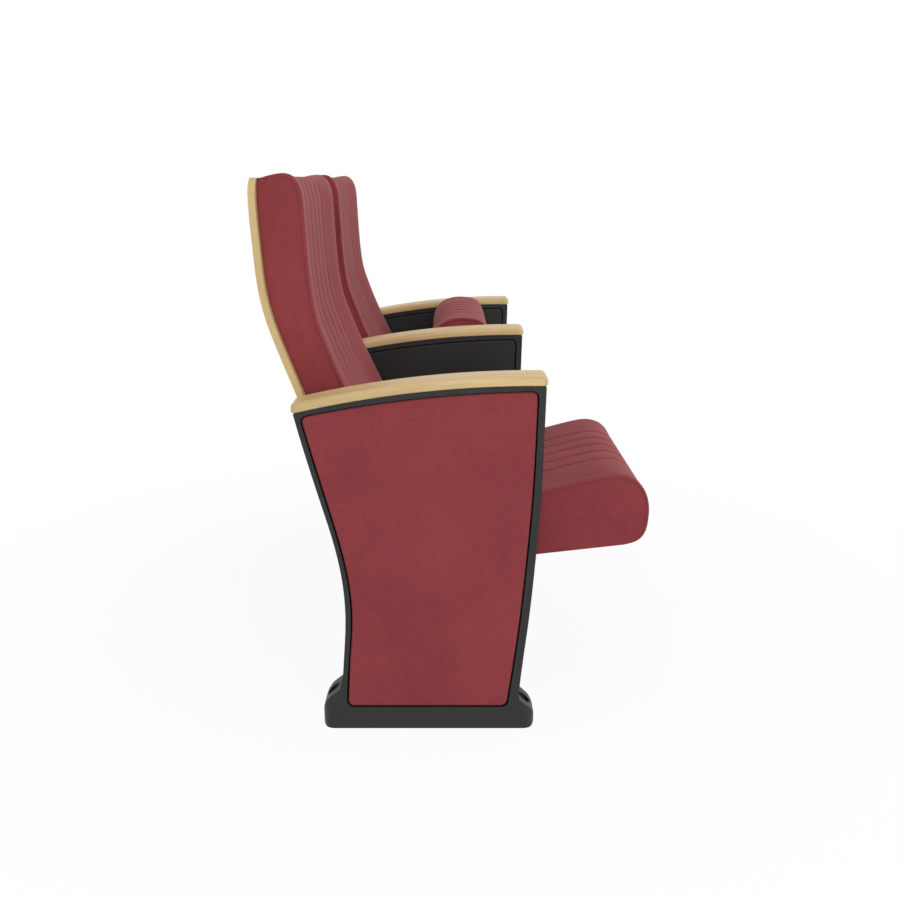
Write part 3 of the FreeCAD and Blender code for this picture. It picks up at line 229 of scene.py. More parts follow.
def smooth_line(points, step):
    """Evenly spaced points on a natural cubic through the given ones."""
    knots = np.array(points, float)
    at = run_along(knots)
    gaps = np.diff(at)
    count = len(knots)
    matrix = np.eye(count)
    right = np.zeros((count, 2))
    for i in range(1, count - 1):
        matrix[i, i - 1:i + 2] = gaps[i - 1], 2 * (gaps[i - 1] + gaps[i]), gaps[i]
        right[i] = 6 * ((knots[i + 1] - knots[i]) / gaps[i] - (knots[i] - knots[i - 1]) / gaps[i - 1])
    bend = np.linalg.solve(matrix, right)
    fine = np.linspace(0, at[-1], 24 * count)
    i = np.clip(np.searchsorted(at, fine, side="right") - 1, 0, count - 2)
    h, a, b = gaps[i][:, None], (at[i + 1] - fine)[:, None], (fine - at[i])[:, None]
    line = (bend[i] * a ** 3 + bend[i + 1] * b ** 3) / (6 * h)
    line += (knots[i] / h - bend[i] * h / 6) * a + (knots[i + 1] / h - bend[i + 1] * h / 6) * b
    return even(line, step)


def even(points, step):
    """The same line with points at even distances."""
    points = np.array(points, float)
    run = run_along(points)
    at = np.linspace(0, run[-1], max(2, int(round(run[-1] / step)) + 1))
    return np.column_stack([np.interp(at, run, points[:, k]) for k in (0, 1)])


def arc_points(centre, radius, start, end, count):
    """Points on an arc between two angles in degrees."""
    angles = np.radians(np.linspace(start, end, count))
    return [(centre[0] + radius * math.cos(a), centre[1] + radius * math.sin(a)) for a in angles]


def left_of(points, distance):
    """A line moved to the left of its direction of travel."""
    run = np.gradient(np.array(points, float), axis=0)
    run /= np.hypot(run[:, 0], run[:, 1])[:, None]
    return points + distance * np.column_stack([-run[:, 1], run[:, 0]])


def joined(*lines):
    """One closed outline out of lines that follow each other, each point once."""
    points = np.concatenate([np.array(line, float) for line in lines])
    keep = np.hypot(*(points - np.roll(points, 1, axis=0)).T) > 0.05
    return points[keep]


def inward(outline):
    """Unit directions into a closed outline that runs clockwise."""
    run = np.roll(outline, -1, axis=0) - np.roll(outline, 1, axis=0)
    run /= np.hypot(run[:, 0], run[:, 1])[:, None]
    return np.column_stack([run[:, 1], -run[:, 0]])


def nearest_on(spine, outline):
    """For each outline point, the nearest point of an open line."""
    spine = even(spine, 1.0)
    gap = np.hypot(outline[:, None, 0] - spine[None, :, 0], outline[:, None, 1] - spine[None, :, 1])
    return spine[gap.argmin(axis=1)]


def fade(value, start, end):
    """Smooth step from 0 at start to 1 at end."""
    t = np.clip((np.asarray(value, float) - start) / (end - start), 0, 1)
    return t * t * (3 - 2 * t)


# Stuffed pieces: one outline repeated across the width, drawn in at seams and sewn lines

def sewn_lines(sizes, pitch):
    """Places of the sewn lines across a cushion."""
    half = (sizes.channel_count - 1) / 2
    return [(i - half) * pitch / MM for i in range(sizes.channel_count)]


def stations(half_width, edge, lines):
    """Places across a cushion where its outline is repeated, close together at sewn lines."""
    places = list(lines) + [(a + b) / 2 for a, b in zip(lines[:-1], lines[1:])]
    places += [line + side * step for line in lines for side in (-1, 1) for step in LINE_STEPS]
    outer = lines[-1] + LINE_STEPS[-1]
    flat = np.linspace(outer, half_width - edge, 8)[1:]
    places += list(flat) + list(-flat)
    return np.array(sorted(places))


def draw_in(y, lines, sizes, half_width):
    """Depth of the sewn lines at a place across a cushion."""
    gap = min(abs(y - line) for line in lines)
    depth = sizes.channel_depth / MM * math.exp(-(gap / GROOVE_WIDTH) ** GROOVE_POWER)
    return depth
    if abs(y) <= lines[-1]:
        share = 2 * gap / (lines[1] - lines[0])
    else:
        share = (abs(y) - lines[-1]) / (half_width - lines[-1])
        share = min(2 * share, 2 - 2 * share)
    return depth - sizes.crown / MM * math.sin(math.pi / 2 * max(0.0, share)) ** 0.8


def side_rings(outline, into, spine, half_width, edge, weight, sizes):
    """Outlines round a cushion's side edge and over its side panel, with their places across."""
    rings = []
    for turn in np.radians(EDGE_TURNS):
        inset = edge * (1 - math.cos(turn)) * weight
        rings.append((half_width - edge + edge * math.sin(turn), outline + into * inset[:, None]))
    rim = rings[-1][1]
    reach = spine - rim
    length = np.hypot(reach[:, 0], reach[:, 1])
    way = reach / length[:, None]
    seam = sizes.seam_depth / MM
    crown = 0
    for inset, dip in SEAM_STEPS:
        rings.append((half_width - seam * dip + 0.06 * crown, rim + way * inset))
    start = SEAM_STEPS[-1][0]
    for share in SIDE_SHARES:
        inset = start + (SPINE_REACH * length - start) * share
        rise = crown * (0.08 + 0.92 * math.sin(math.pi / 2 * share))
        rings.append((half_width + rise, rim + way * inset[:, None]))
    return rings


def across(rings):
    """The way along a cushion's skin from one side to the other, at each ring."""
    steps = [np.linalg.norm(b - a, axis=1).mean() for a, b in zip(rings[:-1], rings[1:])]
    return np.concatenate([[0.0], np.cumsum(steps)])


def smoothly(at, knots, values):
    """Values between knots on cubics that share their slopes."""
    slopes = np.gradient(values, knots, axis=0)
    k = np.clip(np.searchsorted(knots, at, side="right") - 1, 0, len(knots) - 2)
    span = (knots[k + 1] - knots[k])[:, None, None]
    t = (at - knots[k])[:, None, None] / span
    first = values[k] * (1 + 2 * t) + slopes[k] * span * t
    last = values[k + 1] * (3 - 2 * t) - slopes[k + 1] * span * (1 - t)
    return first * (1 - t) ** 2 + last * t ** 2


def in_scene(name, data):
    """A new object in the scene."""
    piece = bpy.data.objects.new(name, data)
    bpy.context.scene.collection.objects.link(piece)
    return piece


def stuffed(rings, held, most, sizes):
    """Rings moved to where the cloth settles when the padding presses on it from inside.

    held is 1 where the cloth is sewn or glued down, and most is the furthest that a point moves.
    """
    way = across(rings)
    sewn = held.mean(axis=1) > 0.3
    picked = [0]
    for k in range(1, len(rings) - 1):
        apart = way[k] - way[picked[-1]]
        if sewn[k] and not sewn[picked[-1]] and apart > TRIAL_SEWN_GAP or apart > TRIAL_GAP:
            picked.append(k)
    picked.append(len(rings) - 1)
    mesh = closed_mesh("stuffing_trial", [rings[k] for k in picked])
    trial = in_scene("stuffing_trial", mesh)
    group = trial.vertex_groups.new(name="held")
    for index, weight in enumerate(held[picked].ravel()):
        group.add([index], float(weight), "REPLACE")
    cloth = trial.modifiers.new("stuffing", "CLOTH")
    cloth.settings.quality = 6
    cloth.settings.mass = 0.3
    cloth.settings.tension_stiffness = cloth.settings.compression_stiffness = 12
    cloth.settings.shear_stiffness = 4
    cloth.settings.bending_stiffness = 0.6
    cloth.settings.vertex_group_mass = "held"
    cloth.settings.use_pressure = True
    cloth.settings.uniform_pressure_force = sizes.stuffing
    cloth.settings.effector_weights.gravity = 0
    cloth.collision_settings.use_collision = False
    cloth.point_cache.frame_start, cloth.point_cache.frame_end = 1, TRIAL_MOMENTS
    scene = bpy.context.scene
    for moment in range(1, TRIAL_MOMENTS + 1):
        scene.frame_set(moment)
    settled = trial.evaluated_get(bpy.context.evaluated_depsgraph_get())
    points = np.empty(len(mesh.vertices) * 3, np.float32)
    settled.data.vertices.foreach_get("co", points)
    scene.frame_set(1)
    bpy.data.objects.remove(trial)
    bpy.data.meshes.remove(mesh)
    moved = points.reshape(len(picked), -1, 3) / MM - np.array([rings[k] for k in picked])
    size = np.linalg.norm(moved, axis=2, keepdims=True)
    limit = most[picked][:, :, None]
    moved *= limit * np.tanh(size / limit) / np.maximum(size, 1e-9)
    full = smoothly(way, way[picked], moved)
    for last, step in ((0, 1), (len(rings) - 1, -1)):
        ring = rings[last]
        near = np.exp(-(np.linalg.norm(ring[:, None] - ring[None], axis=2) / SIDE_BLEND) ** 2)
        middle = near @ full[last + step * (SIDE_RINGS // 2)] / near.sum(axis=1, keepdims=True)
        for turn in range(SIDE_RINGS):
            share = float(fade(turn, 0, SIDE_RINGS - 1))
            k = last + step * turn
            full[k] = middle * (1 - share) + full[k] * share
    return [ring + shift for ring, shift in zip(rings, full)]


def closed_mesh(name, rings, sewing=None):
    """A closed mesh through rings of like points, each (x, y, z) in millimetres."""
    form = bmesh.new()
    loops = [[form.verts.new(point) for point in ring * MM] for ring in rings]
    count = len(loops[0])
    for a, b in zip(loops[:-1], loops[1:]):
        for i in range(count):
            k = (i + 1) % count
            form.faces.new((a[i], a[k], b[k], b[i]))
    form.faces.new(loops[0][::-1])
    form.faces.new(loops[-1])
    bmesh.ops.recalc_face_normals(form, faces=form.faces)
    for face in form.faces:
        face.smooth = True
    mesh = bpy.data.meshes.new(name)
    form.to_mesh(mesh)
    form.free()
    if sewing is not None:
        # The first attribute carries the painted groove shade for the cloth's colour, the second the way
        # along the outline.
        for key, values in zip(("painted_groove_shade", "sewn_way"), sewing):
            store = mesh.attributes.new(key, "FLOAT", "POINT")
            store.data.foreach_set("value", np.asarray(values, np.float32).ravel())
    return mesh


def put(mesh, name, turn=0.0, centre=(0.0, 0.0, 0.0)):
    """An object of its own, turned about the cross axis and moved, with its mesh in the row's frame."""
    own = mesh.copy()
    own.name = name
    points = np.empty(len(own.vertices) * 3, np.float32)
    own.vertices.foreach_get("co", points)
    points = points.reshape(-1, 3).astype(float)
    c, s = math.cos(math.radians(turn)), math.sin(math.radians(turn))
    x, z = points[:, 0] * c - points[:, 2] * s, points[:, 0] * s + points[:, 2] * c
    points = np.column_stack([x, points[:, 1], z]) + np.array(centre)
    own.vertices.foreach_set("co", points.astype(np.float32).ravel())
    own.update()
    return in_scene(name, own)


def lay_rings(rings):
    """Side-view outlines with their places across, as points in space."""
    return [np.column_stack([line[:, 0], np.full(len(line), y), line[:, 1]]) for y, line in rings]


def padded_form(name, middle, ends, glued, share, outline, lines, sizes):
    """A cushion from its outlines across the middle and over one side, stuffed and sewn."""
    sides = [(-y, line) for y, line in ends[::-1]]
    rings = lay_rings(sides + middle + ends)
    first, last = len(sides), len(sides) + len(middle)
    rim = middle[-1][0]
    held = np.zeros((len(rings), len(outline)))
    # depth holds painted shade for the cloth's colour along sewn lines and in the seams; it is not a
    # depth of the mesh
    depth = np.zeros_like(held)
    most = np.full_like(held, sizes.side_crown / MM)
    for k, (y, _) in enumerate(middle, first):
        gap = min(abs(y - line) for line in lines)
        inner = float(fade(-abs(y), -rim, RIM_REACH - rim))
        held[k] = share * (gap < 0.1)
        # Painted shade: the cloth is darkened along each sewn line, standing in for the shade in its
        # groove.
        depth[k] = share * math.exp(-(gap / SEWN_SHADE_WIDTH) ** 2)
        most[k] = sizes.swell / MM * (RIM_SWELL + (1 - RIM_SWELL) * inner)
    for turn in range(len(ends)):
        # Painted shade in the plain seam round each side panel, strongest at the seam's bottom ring.
        reach = math.exp(-((turn - SEAM_RING) / SEAM_WIDTH) ** 2)
        for k in (first - 1 - turn, last + turn):
            depth[k] = SEAM_SHADE * reach
            held[k] = turn == SEAM_RING
            if turn < SEAM_RING:
                most[k] = RIM_SWELL * sizes.swell / MM
    held[:, glued] = 1
    depth[:, glued] = 0
    sewing = (depth, np.tile(run_along(outline) * MM, (len(rings), 1)))
    return closed_mesh(name, stuffed(rings, held, most, sizes), sewing)


def seat_cushion_mesh(sizes):
    """The seat pad in its own axes, with a hollow below for its board."""
    rear_round = arc_points((SEAT_REAR + SEAT_REAR_ROUND, SEAT_REAR_TOP - SEAT_REAR_ROUND),
                            SEAT_REAR_ROUND, 180, 90, 7)
    rear_low = arc_points((SEAT_REAR + SEAT_LOW_ROUND, SEAT_BOTTOM + SEAT_LOW_ROUND),
                          SEAT_LOW_ROUND, 270, 180, 4)
    over = smooth_line([rear_round[-1]] + SEAT_TOP, 9.0)
    rear = even([rear_low[-1], rear_round[0]], 12.0)
    (rear_end, front_end), (lip, outer_lip) = BOARD_U, HOLLOW_LIPS
    low = [(u, SEAT_BOTTOM) for u in (front_end + outer_lip, front_end + lip, front_end,
                                      rear_end, rear_end - lip, rear_end - outer_lip)]
    front_low = even([over[-1], low[0]], 10.0)[:-1]
    middle_low = even([low[2], low[3]], 24.0)
    outline = joined(rear_low, rear, rear_round, over, front_low, low[:2], middle_low, low[4:])
    into = inward(outline)
    on_top = fade(outline[:, 1], *SEAT_LINE_FOOT)
    on_top *= fade(outline[:, 0], SEAT_REAR - 1, SEAT_REAR + SEAT_LINE_REAR)
    below = (outline[:, 1] < SEAT_BOTTOM + 0.01)
    hollow = below & (outline[:, 0] <= front_end + 0.01) & (outline[:, 0] >= rear_end - 0.01)
    spine = nearest_on(SEAT_SPINE, outline)
    lines = sewn_lines(sizes, sizes.channel_pitch)
    edge = sizes.seat_side_round / MM
    weight = np.where(below, SEAT_LOW_WEIGHT, 1.0)

    def section(y):
        """The outline at one place across, with its sewn lines drawn in and its hollow."""
        line = outline + into * (draw_in(y, lines, sizes, SEAT_HALF_WIDTH) * on_top)[:, None]
        if abs(y) <= BOARD_HALF_WIDTH:
            line[hollow, 1] = BOARD_TOP
        return line

    rim = SEAT_HALF_WIDTH - sizes.side_crown / MM
    places = list(stations(rim, edge, lines))
    places += [s * (BOARD_HALF_WIDTH + d) for s in (-1, 1) for d in (-0.05, 0.45)]
    rings = [(y, section(y)) for y in sorted(places)]
    ends = side_rings(outline, into, spine, rim, edge, weight, sizes)
    glued = (outline[:, 1] < SEAT_BOTTOM + 1) | (outline[:, 0] < SEAT_REAR + 1)
    return padded_form("seat_pad_form", rings, ends, glued, on_top, outline, lines, sizes)


def back_cushion_mesh(sizes):
    """The back pad, with raised sides and a sunk middle."""
    rear = left_of(smooth_line(SHELL_REAR, 10.0), SHELL_THICKNESS + SHELL_GAP)
    rear = rear[rear[:, 1] > BACK_BOTTOM_REAR[1] + 2][::-1]
    over = smooth_line(BACK_FRONT, 8.0)
    bottom = even([over[-1], BACK_BOTTOM_REAR], 12.0)
    outline = joined(rear, over, bottom[1:])
    into = inward(outline)
    on_shell = np.zeros(len(outline), bool)
    on_shell[:len(rear)] = True
    front = ~on_shell
    share = fade(outline[:, 1], *BACK_LINE_FOOT) * fade(outline[:, 0], *BACK_LINE_TOP) * front
    sunk = np.clip((BACK_SUNK_LIMIT - outline[:, 1]) / BACK_SUNK_RUN, 0, 1) * front
    sunk *= fade(outline[:, 0], *BACK_SUNK_TOP) * fade(outline[:, 1], *BACK_SUNK_FOOT)
    dipped = fade(outline[:, 1], *BACK_DIP_HEIGHT) * fade(outline[:, 0], *BACK_DIP_PLACE)
    heights = np.linspace(*BACK_SPINE_HEIGHTS, 20)
    rear_x = np.interp(heights, rear[:, 1], rear[:, 0])
    front_x = np.interp(heights, over[::-1, 1], over[::-1, 0])
    spine = nearest_on(BACK_SPINE_TOP + list(zip((rear_x + front_x) / 2, heights)), outline)
    lines = sewn_lines(sizes, sizes.back_pitch)
    edge = sizes.back_side_round / MM
    run = run_along(outline)
    start = run[len(rear) - 1]
    gain = 1 - BACK_REAR_WEIGHT
    weight = BACK_REAR_WEIGHT + gain * fade(run, start + 2, start + 26)
    weight *= 1 - gain * fade(run, run[-1] - 40, run[-1] - 8)

    def section(y):
        """The outline at one place across, with its sewn lines drawn in and its middle sunk."""
        ramp = 1 - fade(abs(y), BACK_FLAT, BACK_CREST)
        line = outline + into * (draw_in(y, lines, sizes, BACK_HALF_WIDTH) * share)[:, None]
        line[:, 0] -= sizes.back_recess / MM * ramp * sunk
        line[:, 1] -= BACK_DIP_SHARE * sizes.back_recess / MM * ramp * dipped
        return line

    rim = BACK_HALF_WIDTH - sizes.side_crown / MM
    rings = [(y, section(y)) for y in stations(rim, edge, lines)]
    ends = side_rings(outline, into, spine, rim, edge, weight, sizes)
    return padded_form("back_pad_form", rings, ends, on_shell, share, outline, lines, sizes)


def panel_outline():
    """The outer panel's outline, clockwise, with its corners rounded."""
    rear = smooth_line(PANEL_REAR[::-1], 6.0)
    front = smooth_line(PANEL_FRONT, 6.0)
    (x0, z0), (x1, z1), (x2, z2) = rear[-1], PANEL_TOP_MIDDLE, front[0]
    matrix = np.array([[x0, z0, 1], [x1, z1, 1], [x2, z2, 1]], float)
    a, b, c = np.linalg.solve(matrix, [-(x0 ** 2 + z0 ** 2), -(x1 ** 2 + z1 ** 2), -(x2 ** 2 + z2 ** 2)])
    centre = np.array([-a / 2, -b / 2])
    radius = math.sqrt(centre @ centre - c)
    start = math.degrees(math.atan2(z0 - centre[1], x0 - centre[0]))
    end = math.degrees(math.atan2(z2 - centre[1], x2 - centre[0]))
    top = np.array(arc_points(centre, radius, start, end, 70))
    bottom = even([front[-1], rear[0]], 6.0)
    sides = [rear, top, front, bottom]
    cut = []
    for side in sides:
        run = run_along(side)
        cut.append(side[(run > PANEL_CORNER) & (run < run[-1] - PANEL_CORNER)])
    outline = []
    for i, side in enumerate(cut):
        corner = sides[i][-1]
        after = cut[(i + 1) % 4][0]
        outline += [tuple(p) for p in side]
        for t in (0.2, 0.4, 0.6, 0.8):
            way = side[-1] * (1 - t) ** 2 + 2 * corner * t * (1 - t) + after * t * t
            outline.append(tuple(way))
    return np.array(outline)


def panel_cover_mesh():
    """Cloth over the panel's face and round its edges, for a face towards +Y."""
    outline = panel_outline()
    into = inward(outline)
    rows = [(2.2, PANEL_BACK), (0.8, PANEL_BACK), (0.0, PANEL_BACK + 1.0), (0.0, PANEL_FACE - 3.0)]
    for turn in np.radians((30, 60, 90)):
        inset = PANEL_EDGE_ROUND * (1 - math.cos(turn))
        rows.append((inset, PANEL_FACE - PANEL_EDGE_ROUND * (1 - math.sin(turn))))
    rings = [(y, outline + into * inset) for inset, y in rows]
    rim = rings[-1][1]
    middle = np.array([PANEL_MIDDLE])
    for share in (0.03, 0.08, 0.2, 0.4, 0.65, 0.9):
        y = PANEL_FACE + PANEL_CROWN * float(fade(share, 0, 0.8))
        rings.append((y, rim + (middle - rim) * share))
    return closed_mesh("panel_cover_form", lay_rings(rings))


def cover_panel(name, place, side):
    """One outer cover at its place along the row, mirrored where it faces the other way."""
    mesh = panel_cover_mesh()
    if side < 0:
        form = bmesh.new()
        form.from_mesh(mesh)
        for vertex in form.verts:
            vertex.co.y = -vertex.co.y
        bmesh.ops.reverse_faces(form, faces=form.faces)
        form.to_mesh(mesh)
        form.free()
    return put(mesh, name, centre=(0, place * MM, 0))


# Finishes

class Value:
    """One output of a node, which can be used in sums."""

    def __init__(self, nodes, socket):
        self.nodes = nodes
        self.socket = socket

    def sum(self, operation, first, second):
        return self.nodes.add("ShaderNodeMath", {"operation": operation}, {0: first, 1: second})

    def __add__(self, other):
        return self.sum("ADD", self, other)

    def __radd__(self, other):
        return self.sum("ADD", other, self)

    def __sub__(self, other):
        return self.sum("SUBTRACT", self, other)

    def __rsub__(self, other):
        return self.sum("SUBTRACT", other, self)

    def __mul__(self, other):
        return self.sum("MULTIPLY", self, other)

    def __rmul__(self, other):
        return self.sum("MULTIPLY", other, self)


class Nodes:
    """The nodes of one material or world, cleared down to its output."""

    def __init__(self, owner, output):
        owner.use_nodes = True
        self.tree = owner.node_tree
        self.tree.nodes.clear()
        self.output = self.tree.nodes.new(output)

    def add(self, kind, settings, sockets, output=0):
        """A node of a type, its settings first, then values or links for its sockets."""
        node = self.tree.nodes.new(kind)
        for key, value in settings.items():
            setattr(node, key, value)
        for key, value in sockets.items():
            self.feed(node.inputs[key], value)
        return Value(self, node.outputs[output])

    def feed(self, socket, value):
        """Links a value to a socket, or writes a number or colour in it."""
        if isinstance(value, Value):
            self.tree.links.new(value.socket, socket)
        elif hasattr(value, "__len__") and len(value) == 3 and socket.type == "RGBA":
            socket.default_value = (*value, 1.0)
        else:
            socket.default_value = value

    def show(self, shading):
        self.feed(self.output.inputs["Surface"], shading)


class Finish(Nodes):
    """A material made of procedural nodes round one shader."""

    def __init__(self, name, **constants):
        self.material = bpy.data.materials.new(name)
        super().__init__(self.material, "ShaderNodeOutputMaterial")
        self.shader = self.tree.nodes.new("ShaderNodeBsdfPrincipled")
        self.shading = Value(self, self.shader.outputs[0])
        self.show(self.shading)
        self.set(**constants)
        self.place = self.add("ShaderNodeTexCoord", {}, {}, "Object")

    def stretched(self, x, y, z):
        """The place on the object, with each axis scaled."""
        return self.add("ShaderNodeVectorMath", {"operation": "MULTIPLY"},
                        {0: self.place, 1: (x, y, z)})

    def noise(self, scale, detail=2.0, roughness=0.5, place=None, distortion=0.0):
        return self.add("ShaderNodeTexNoise", {}, {
            "Vector": place or self.place, "Scale": scale, "Detail": detail,
            "Roughness": roughness, "Distortion": distortion})

    def ranged(self, value, low, high, to_low=0.0, to_high=1.0):
        """A value moved from one range to another and held inside it."""
        return self.add("ShaderNodeMapRange", {"interpolation_type": "SMOOTHSTEP"},
                        {0: value, 1: low, 2: high, 3: to_low, 4: to_high})

    def mixed(self, share, first, second):
        """Two colours, the second by its share."""
        return self.add("ShaderNodeMix", {"data_type": "RGBA"}, {0: share, 6: first, 7: second}, 2)

    def set(self, **sockets):
        """Feeds the shader's own sockets, named with underscores."""
        for socket, value in sockets.items():
            self.feed(self.shader.inputs[socket.replace("_", " ")], value)

    def bump(self, height, distance, strength=1.0):
        normal = self.add("ShaderNodeBump", {}, {"Height": height, "Distance": distance,
                                                 "Strength": strength})
        self.set(Normal=normal)


def shade(colour, amount):
    """A colour made darker or lighter by a factor."""
    return tuple(min(1.0, c * amount) for c in colour)


def woven_cloth(colour, stitch):
    """Plain weave upholstery cloth: threads along each axis, slight slubs, a soft bloom and painted
    shade along its sewn lines and seams.
    """
    cloth = Finish("woven_cloth", Roughness=0.88, Specular_IOR_Level=0.25, Sheen_Weight=0.19,
                   Sheen_Roughness=0.42, Sheen_Tint=(1.0, 0.66, 0.64))

    def drawn_out(along, across, detail, roughness):
        """The mean of three noises, each drawn out along one axis."""
        x, y, z = (cloth.noise(1.0, detail, roughness, cloth.stretched(*scales)) for scales in (
            (along, across, across), (across, along, across), (across, across, along)))
        return (x + y + z) * (1 / 3)

    slub = drawn_out(55, 520, 2.0, 0.6)
    thread = drawn_out(260, 1500, 1.0, 0.5)
    patch = cloth.noise(9.0, 3.0, 0.55)
    tone = cloth.ranged(slub * 0.75 + patch * 0.25, 0.42, 0.58)
    base = cloth.mixed(tone, shade(colour, 0.88), shade(colour, 1.12))
    weave = cloth.mixed(cloth.ranged(thread, 0.36, 0.64) * 0.22, base, shade(colour, 1.35))
    # Painted shade: the cloth turns near black along sewn lines and seams, by the mesh's groove shade,
    # varied stitch by stitch by a wave along the line.
    sewn = cloth.add("ShaderNodeAttribute", {"attribute_name": "painted_groove_shade"}, {}, "Fac")
    way = cloth.add("ShaderNodeAttribute", {"attribute_name": "sewn_way"}, {}, "Fac")
    wave = cloth.add("ShaderNodeMath", {"operation": "SINE"}, {0: way * (2 * math.pi / stitch)})
    cloth.set(Base_Color=cloth.mixed(sewn * (1.05 + wave * 0.15), weave, shade(colour, 0.12)))
    cloth.set(Roughness=cloth.ranged(slub, 0.35, 0.65, 0.82, 0.95))
    cloth.bump(thread + slub * 0.8 + sewn * wave * 1.5, 0.0005, 0.6)
    return cloth.material


def ash_wood(colour, name, grain):
    """Pale lacquered ash, with its grain along the axis that the stretch leaves short."""
    wood = Finish(name, Roughness=0.46, Specular_IOR_Level=0.3, Coat_Weight=0.08,
                  Coat_Roughness=0.3)
    along = wood.stretched(*grain)
    band = wood.noise(1.0, 3.0, 0.55, along, 0.6)
    pore = wood.noise(5.0, 2.0, 0.6, along)
    tone = wood.ranged(band, 0.32, 0.68)
    pale, dark = shade(colour, 1.07), shade(colour, 0.86)
    base = wood.mixed(tone, pale, dark)
    streak = wood.ranged(pore, 0.58, 0.72)
    wood.set(Base_Color=wood.mixed(streak * 0.3, base, shade(colour, 0.66)))
    wood.set(Roughness=0.42 + tone * 0.08 + streak * 0.06)
    wood.bump(1 - streak * 0.6, 0.0002, 0.35)
    return wood.material


def raw_plywood():
    """Bare board, with its grain along the row's +X."""
    wood = Finish("raw_plywood", Roughness=0.75)
    along = wood.stretched(8, 60, 60)
    tone = wood.ranged(wood.noise(1.0, 3.0, 0.6, along), 0.35, 0.65)
    wood.set(Base_Color=wood.mixed(tone, (0.46, 0.33, 0.2), (0.33, 0.22, 0.12)))
    wood.set(Roughness=0.7 + tone * 0.15)
    wood.bump(tone, 0.0003, 0.4)
    return wood.material


def coated(name, colour, grain_scale, roughness, texture):
    """Paint or moulded plastic with a fine surface texture and slight cloudiness."""
    coat = Finish(name, Roughness=roughness, Specular_IOR_Level=0.32)
    grain = coat.noise(grain_scale, 2.0, 0.55)
    cloud = coat.noise(7.0, 2.0, 0.5)
    tone = coat.ranged(grain * 0.5 + cloud * 0.5, 0.38, 0.62)
    coat.set(Base_Color=coat.mixed(tone, shade(colour, 0.88), shade(colour, 1.14)))
    coat.set(Roughness=coat.ranged(cloud, 0.35, 0.65, roughness - 0.05, roughness + 0.07))
    coat.bump(grain, texture, 0.5)
    return coat.material


def bare_steel(name, colour, roughness):
    """Plated or oiled steel with fine turning marks."""
    steel = Finish(name, Metallic=1.0, Roughness=roughness)
    marks = steel.noise(1.0, 2.0, 0.5, steel.stretched(900, 120, 900))
    cloud = steel.noise(40.0, 2.0, 0.5)
    tone = steel.ranged(marks * 0.6 + cloud * 0.4, 0.35, 0.65)
    steel.set(Base_Color=steel.mixed(tone, shade(colour, 0.85), shade(colour, 1.1)))
    steel.set(Roughness=steel.ranged(marks, 0.3, 0.7, roughness - 0.07, roughness + 0.1))
    steel.bump(marks, 0.0001, 0.4)
    return steel.material


def finish_nodes(material, *starts):
    """Gives a finish to every CAD node whose name begins in one of these ways."""
    done = 0
    for name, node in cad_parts.items():
        if name.startswith(starts):
            node.data.materials.clear()
            node.data.materials.append(material)
            done += 1
    if not done:
        raise RuntimeError("no CAD node begins with %s" % (starts,))


def dress(piece, material, body, slot, *nodes):
    """Finishes one made piece, ties it to its body and hides the nodes that it stands for."""
    piece.data.materials.clear()
    piece.data.materials.append(material)
    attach(piece, body)
    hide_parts(*nodes)


def cloth_material():
    """The one cloth that every cushion and cover is made of."""
    scene = bpy.context.scene
    found = bpy.data.materials.get("woven_cloth")
    return found or woven_cloth(tuple(scene.seat_colours.fabric), scene.seat_sizes.stitch_pitch)


# Operators

class SEATS_OT_make_seat_cushions(bpy.types.Operator):
    """Make the two seat cushions, one down and one tipped up"""
    bl_idname = "seats.make_seat_cushions"
    bl_label = "Seat cushions"

    def execute(self, context):
        form = seat_cushion_mesh(context.scene.seat_sizes)
        for seat in SEATS:
            centre = (PIVOT[0] * MM, SEAT_Y[seat] * MM, PIVOT[1] * MM)
            piece = put(form, "seat_cushion_fabric_" + seat, SEAT_TURN[seat], centre)
            dress(piece, cloth_material(), SEAT_BODY[seat], "fabric", "seat_cushion_" + seat)
        return {"FINISHED"}


class SEATS_OT_make_back_cushions(bpy.types.Operator):
    """Make the two back cushions with their raised sides"""
    bl_idname = "seats.make_back_cushions"
    bl_label = "Back cushions"

    def execute(self, context):
        form = back_cushion_mesh(context.scene.seat_sizes)
        for seat in SEATS:
            piece = put(form, "back_cushion_fabric_" + seat, 0.0, (0, SEAT_Y[seat] * MM, 0))
            dress(piece, cloth_material(), "bank", "fabric", "back_cushion_" + seat)
        return {"FINISHED"}


class SEATS_OT_make_panel_covers(bpy.types.Operator):
    """Make the fabric covers of the two outer panels"""
    bl_idname = "seats.make_panel_covers"
    bl_label = "Panel covers"

    def execute(self, context):
        for end, (place, side) in END_STANDARDS.items():
            piece = cover_panel("panel_cover_fabric_" + end, place, side)
            dress(piece, cloth_material(), "bank", "fabric", "outer_panel_cover_" + end)
        return {"FINISHED"}


class SEATS_OT_finish_castings(bpy.types.Operator):
    """Finish the frames and feet in charcoal powder coat"""
    bl_idname = "seats.finish_castings"
    bl_label = "Frames and feet"

    def execute(self, context):
        colour = tuple(context.scene.seat_colours.casting)
        finish_nodes(coated("powder_coat", colour, 900, 0.5, 0.00025), "frame_", "foot_near",
                     "foot_middle", "foot_far")
        return {"FINISHED"}


class SEATS_OT_finish_woodwork(bpy.types.Operator):
    """Finish the arms, shells and boards"""
    bl_idname = "seats.finish_woodwork"
    bl_label = "Arms, shells and boards"

    def execute(self, context):
        colour = tuple(context.scene.seat_colours.ash)
        finish_nodes(ash_wood(colour, "ash_arm", (4, 120, 34)), "armrest_near", "armrest_middle",
                     "armrest_far")
        finish_nodes(ash_wood(colour, "ash_shell", (5, 100, 4)), "back_shell_")
        finish_nodes(raw_plywood(), "seat_board_", "back_board_near", "back_board_far",
                     "outer_panel_board_")
        return {"FINISHED"}


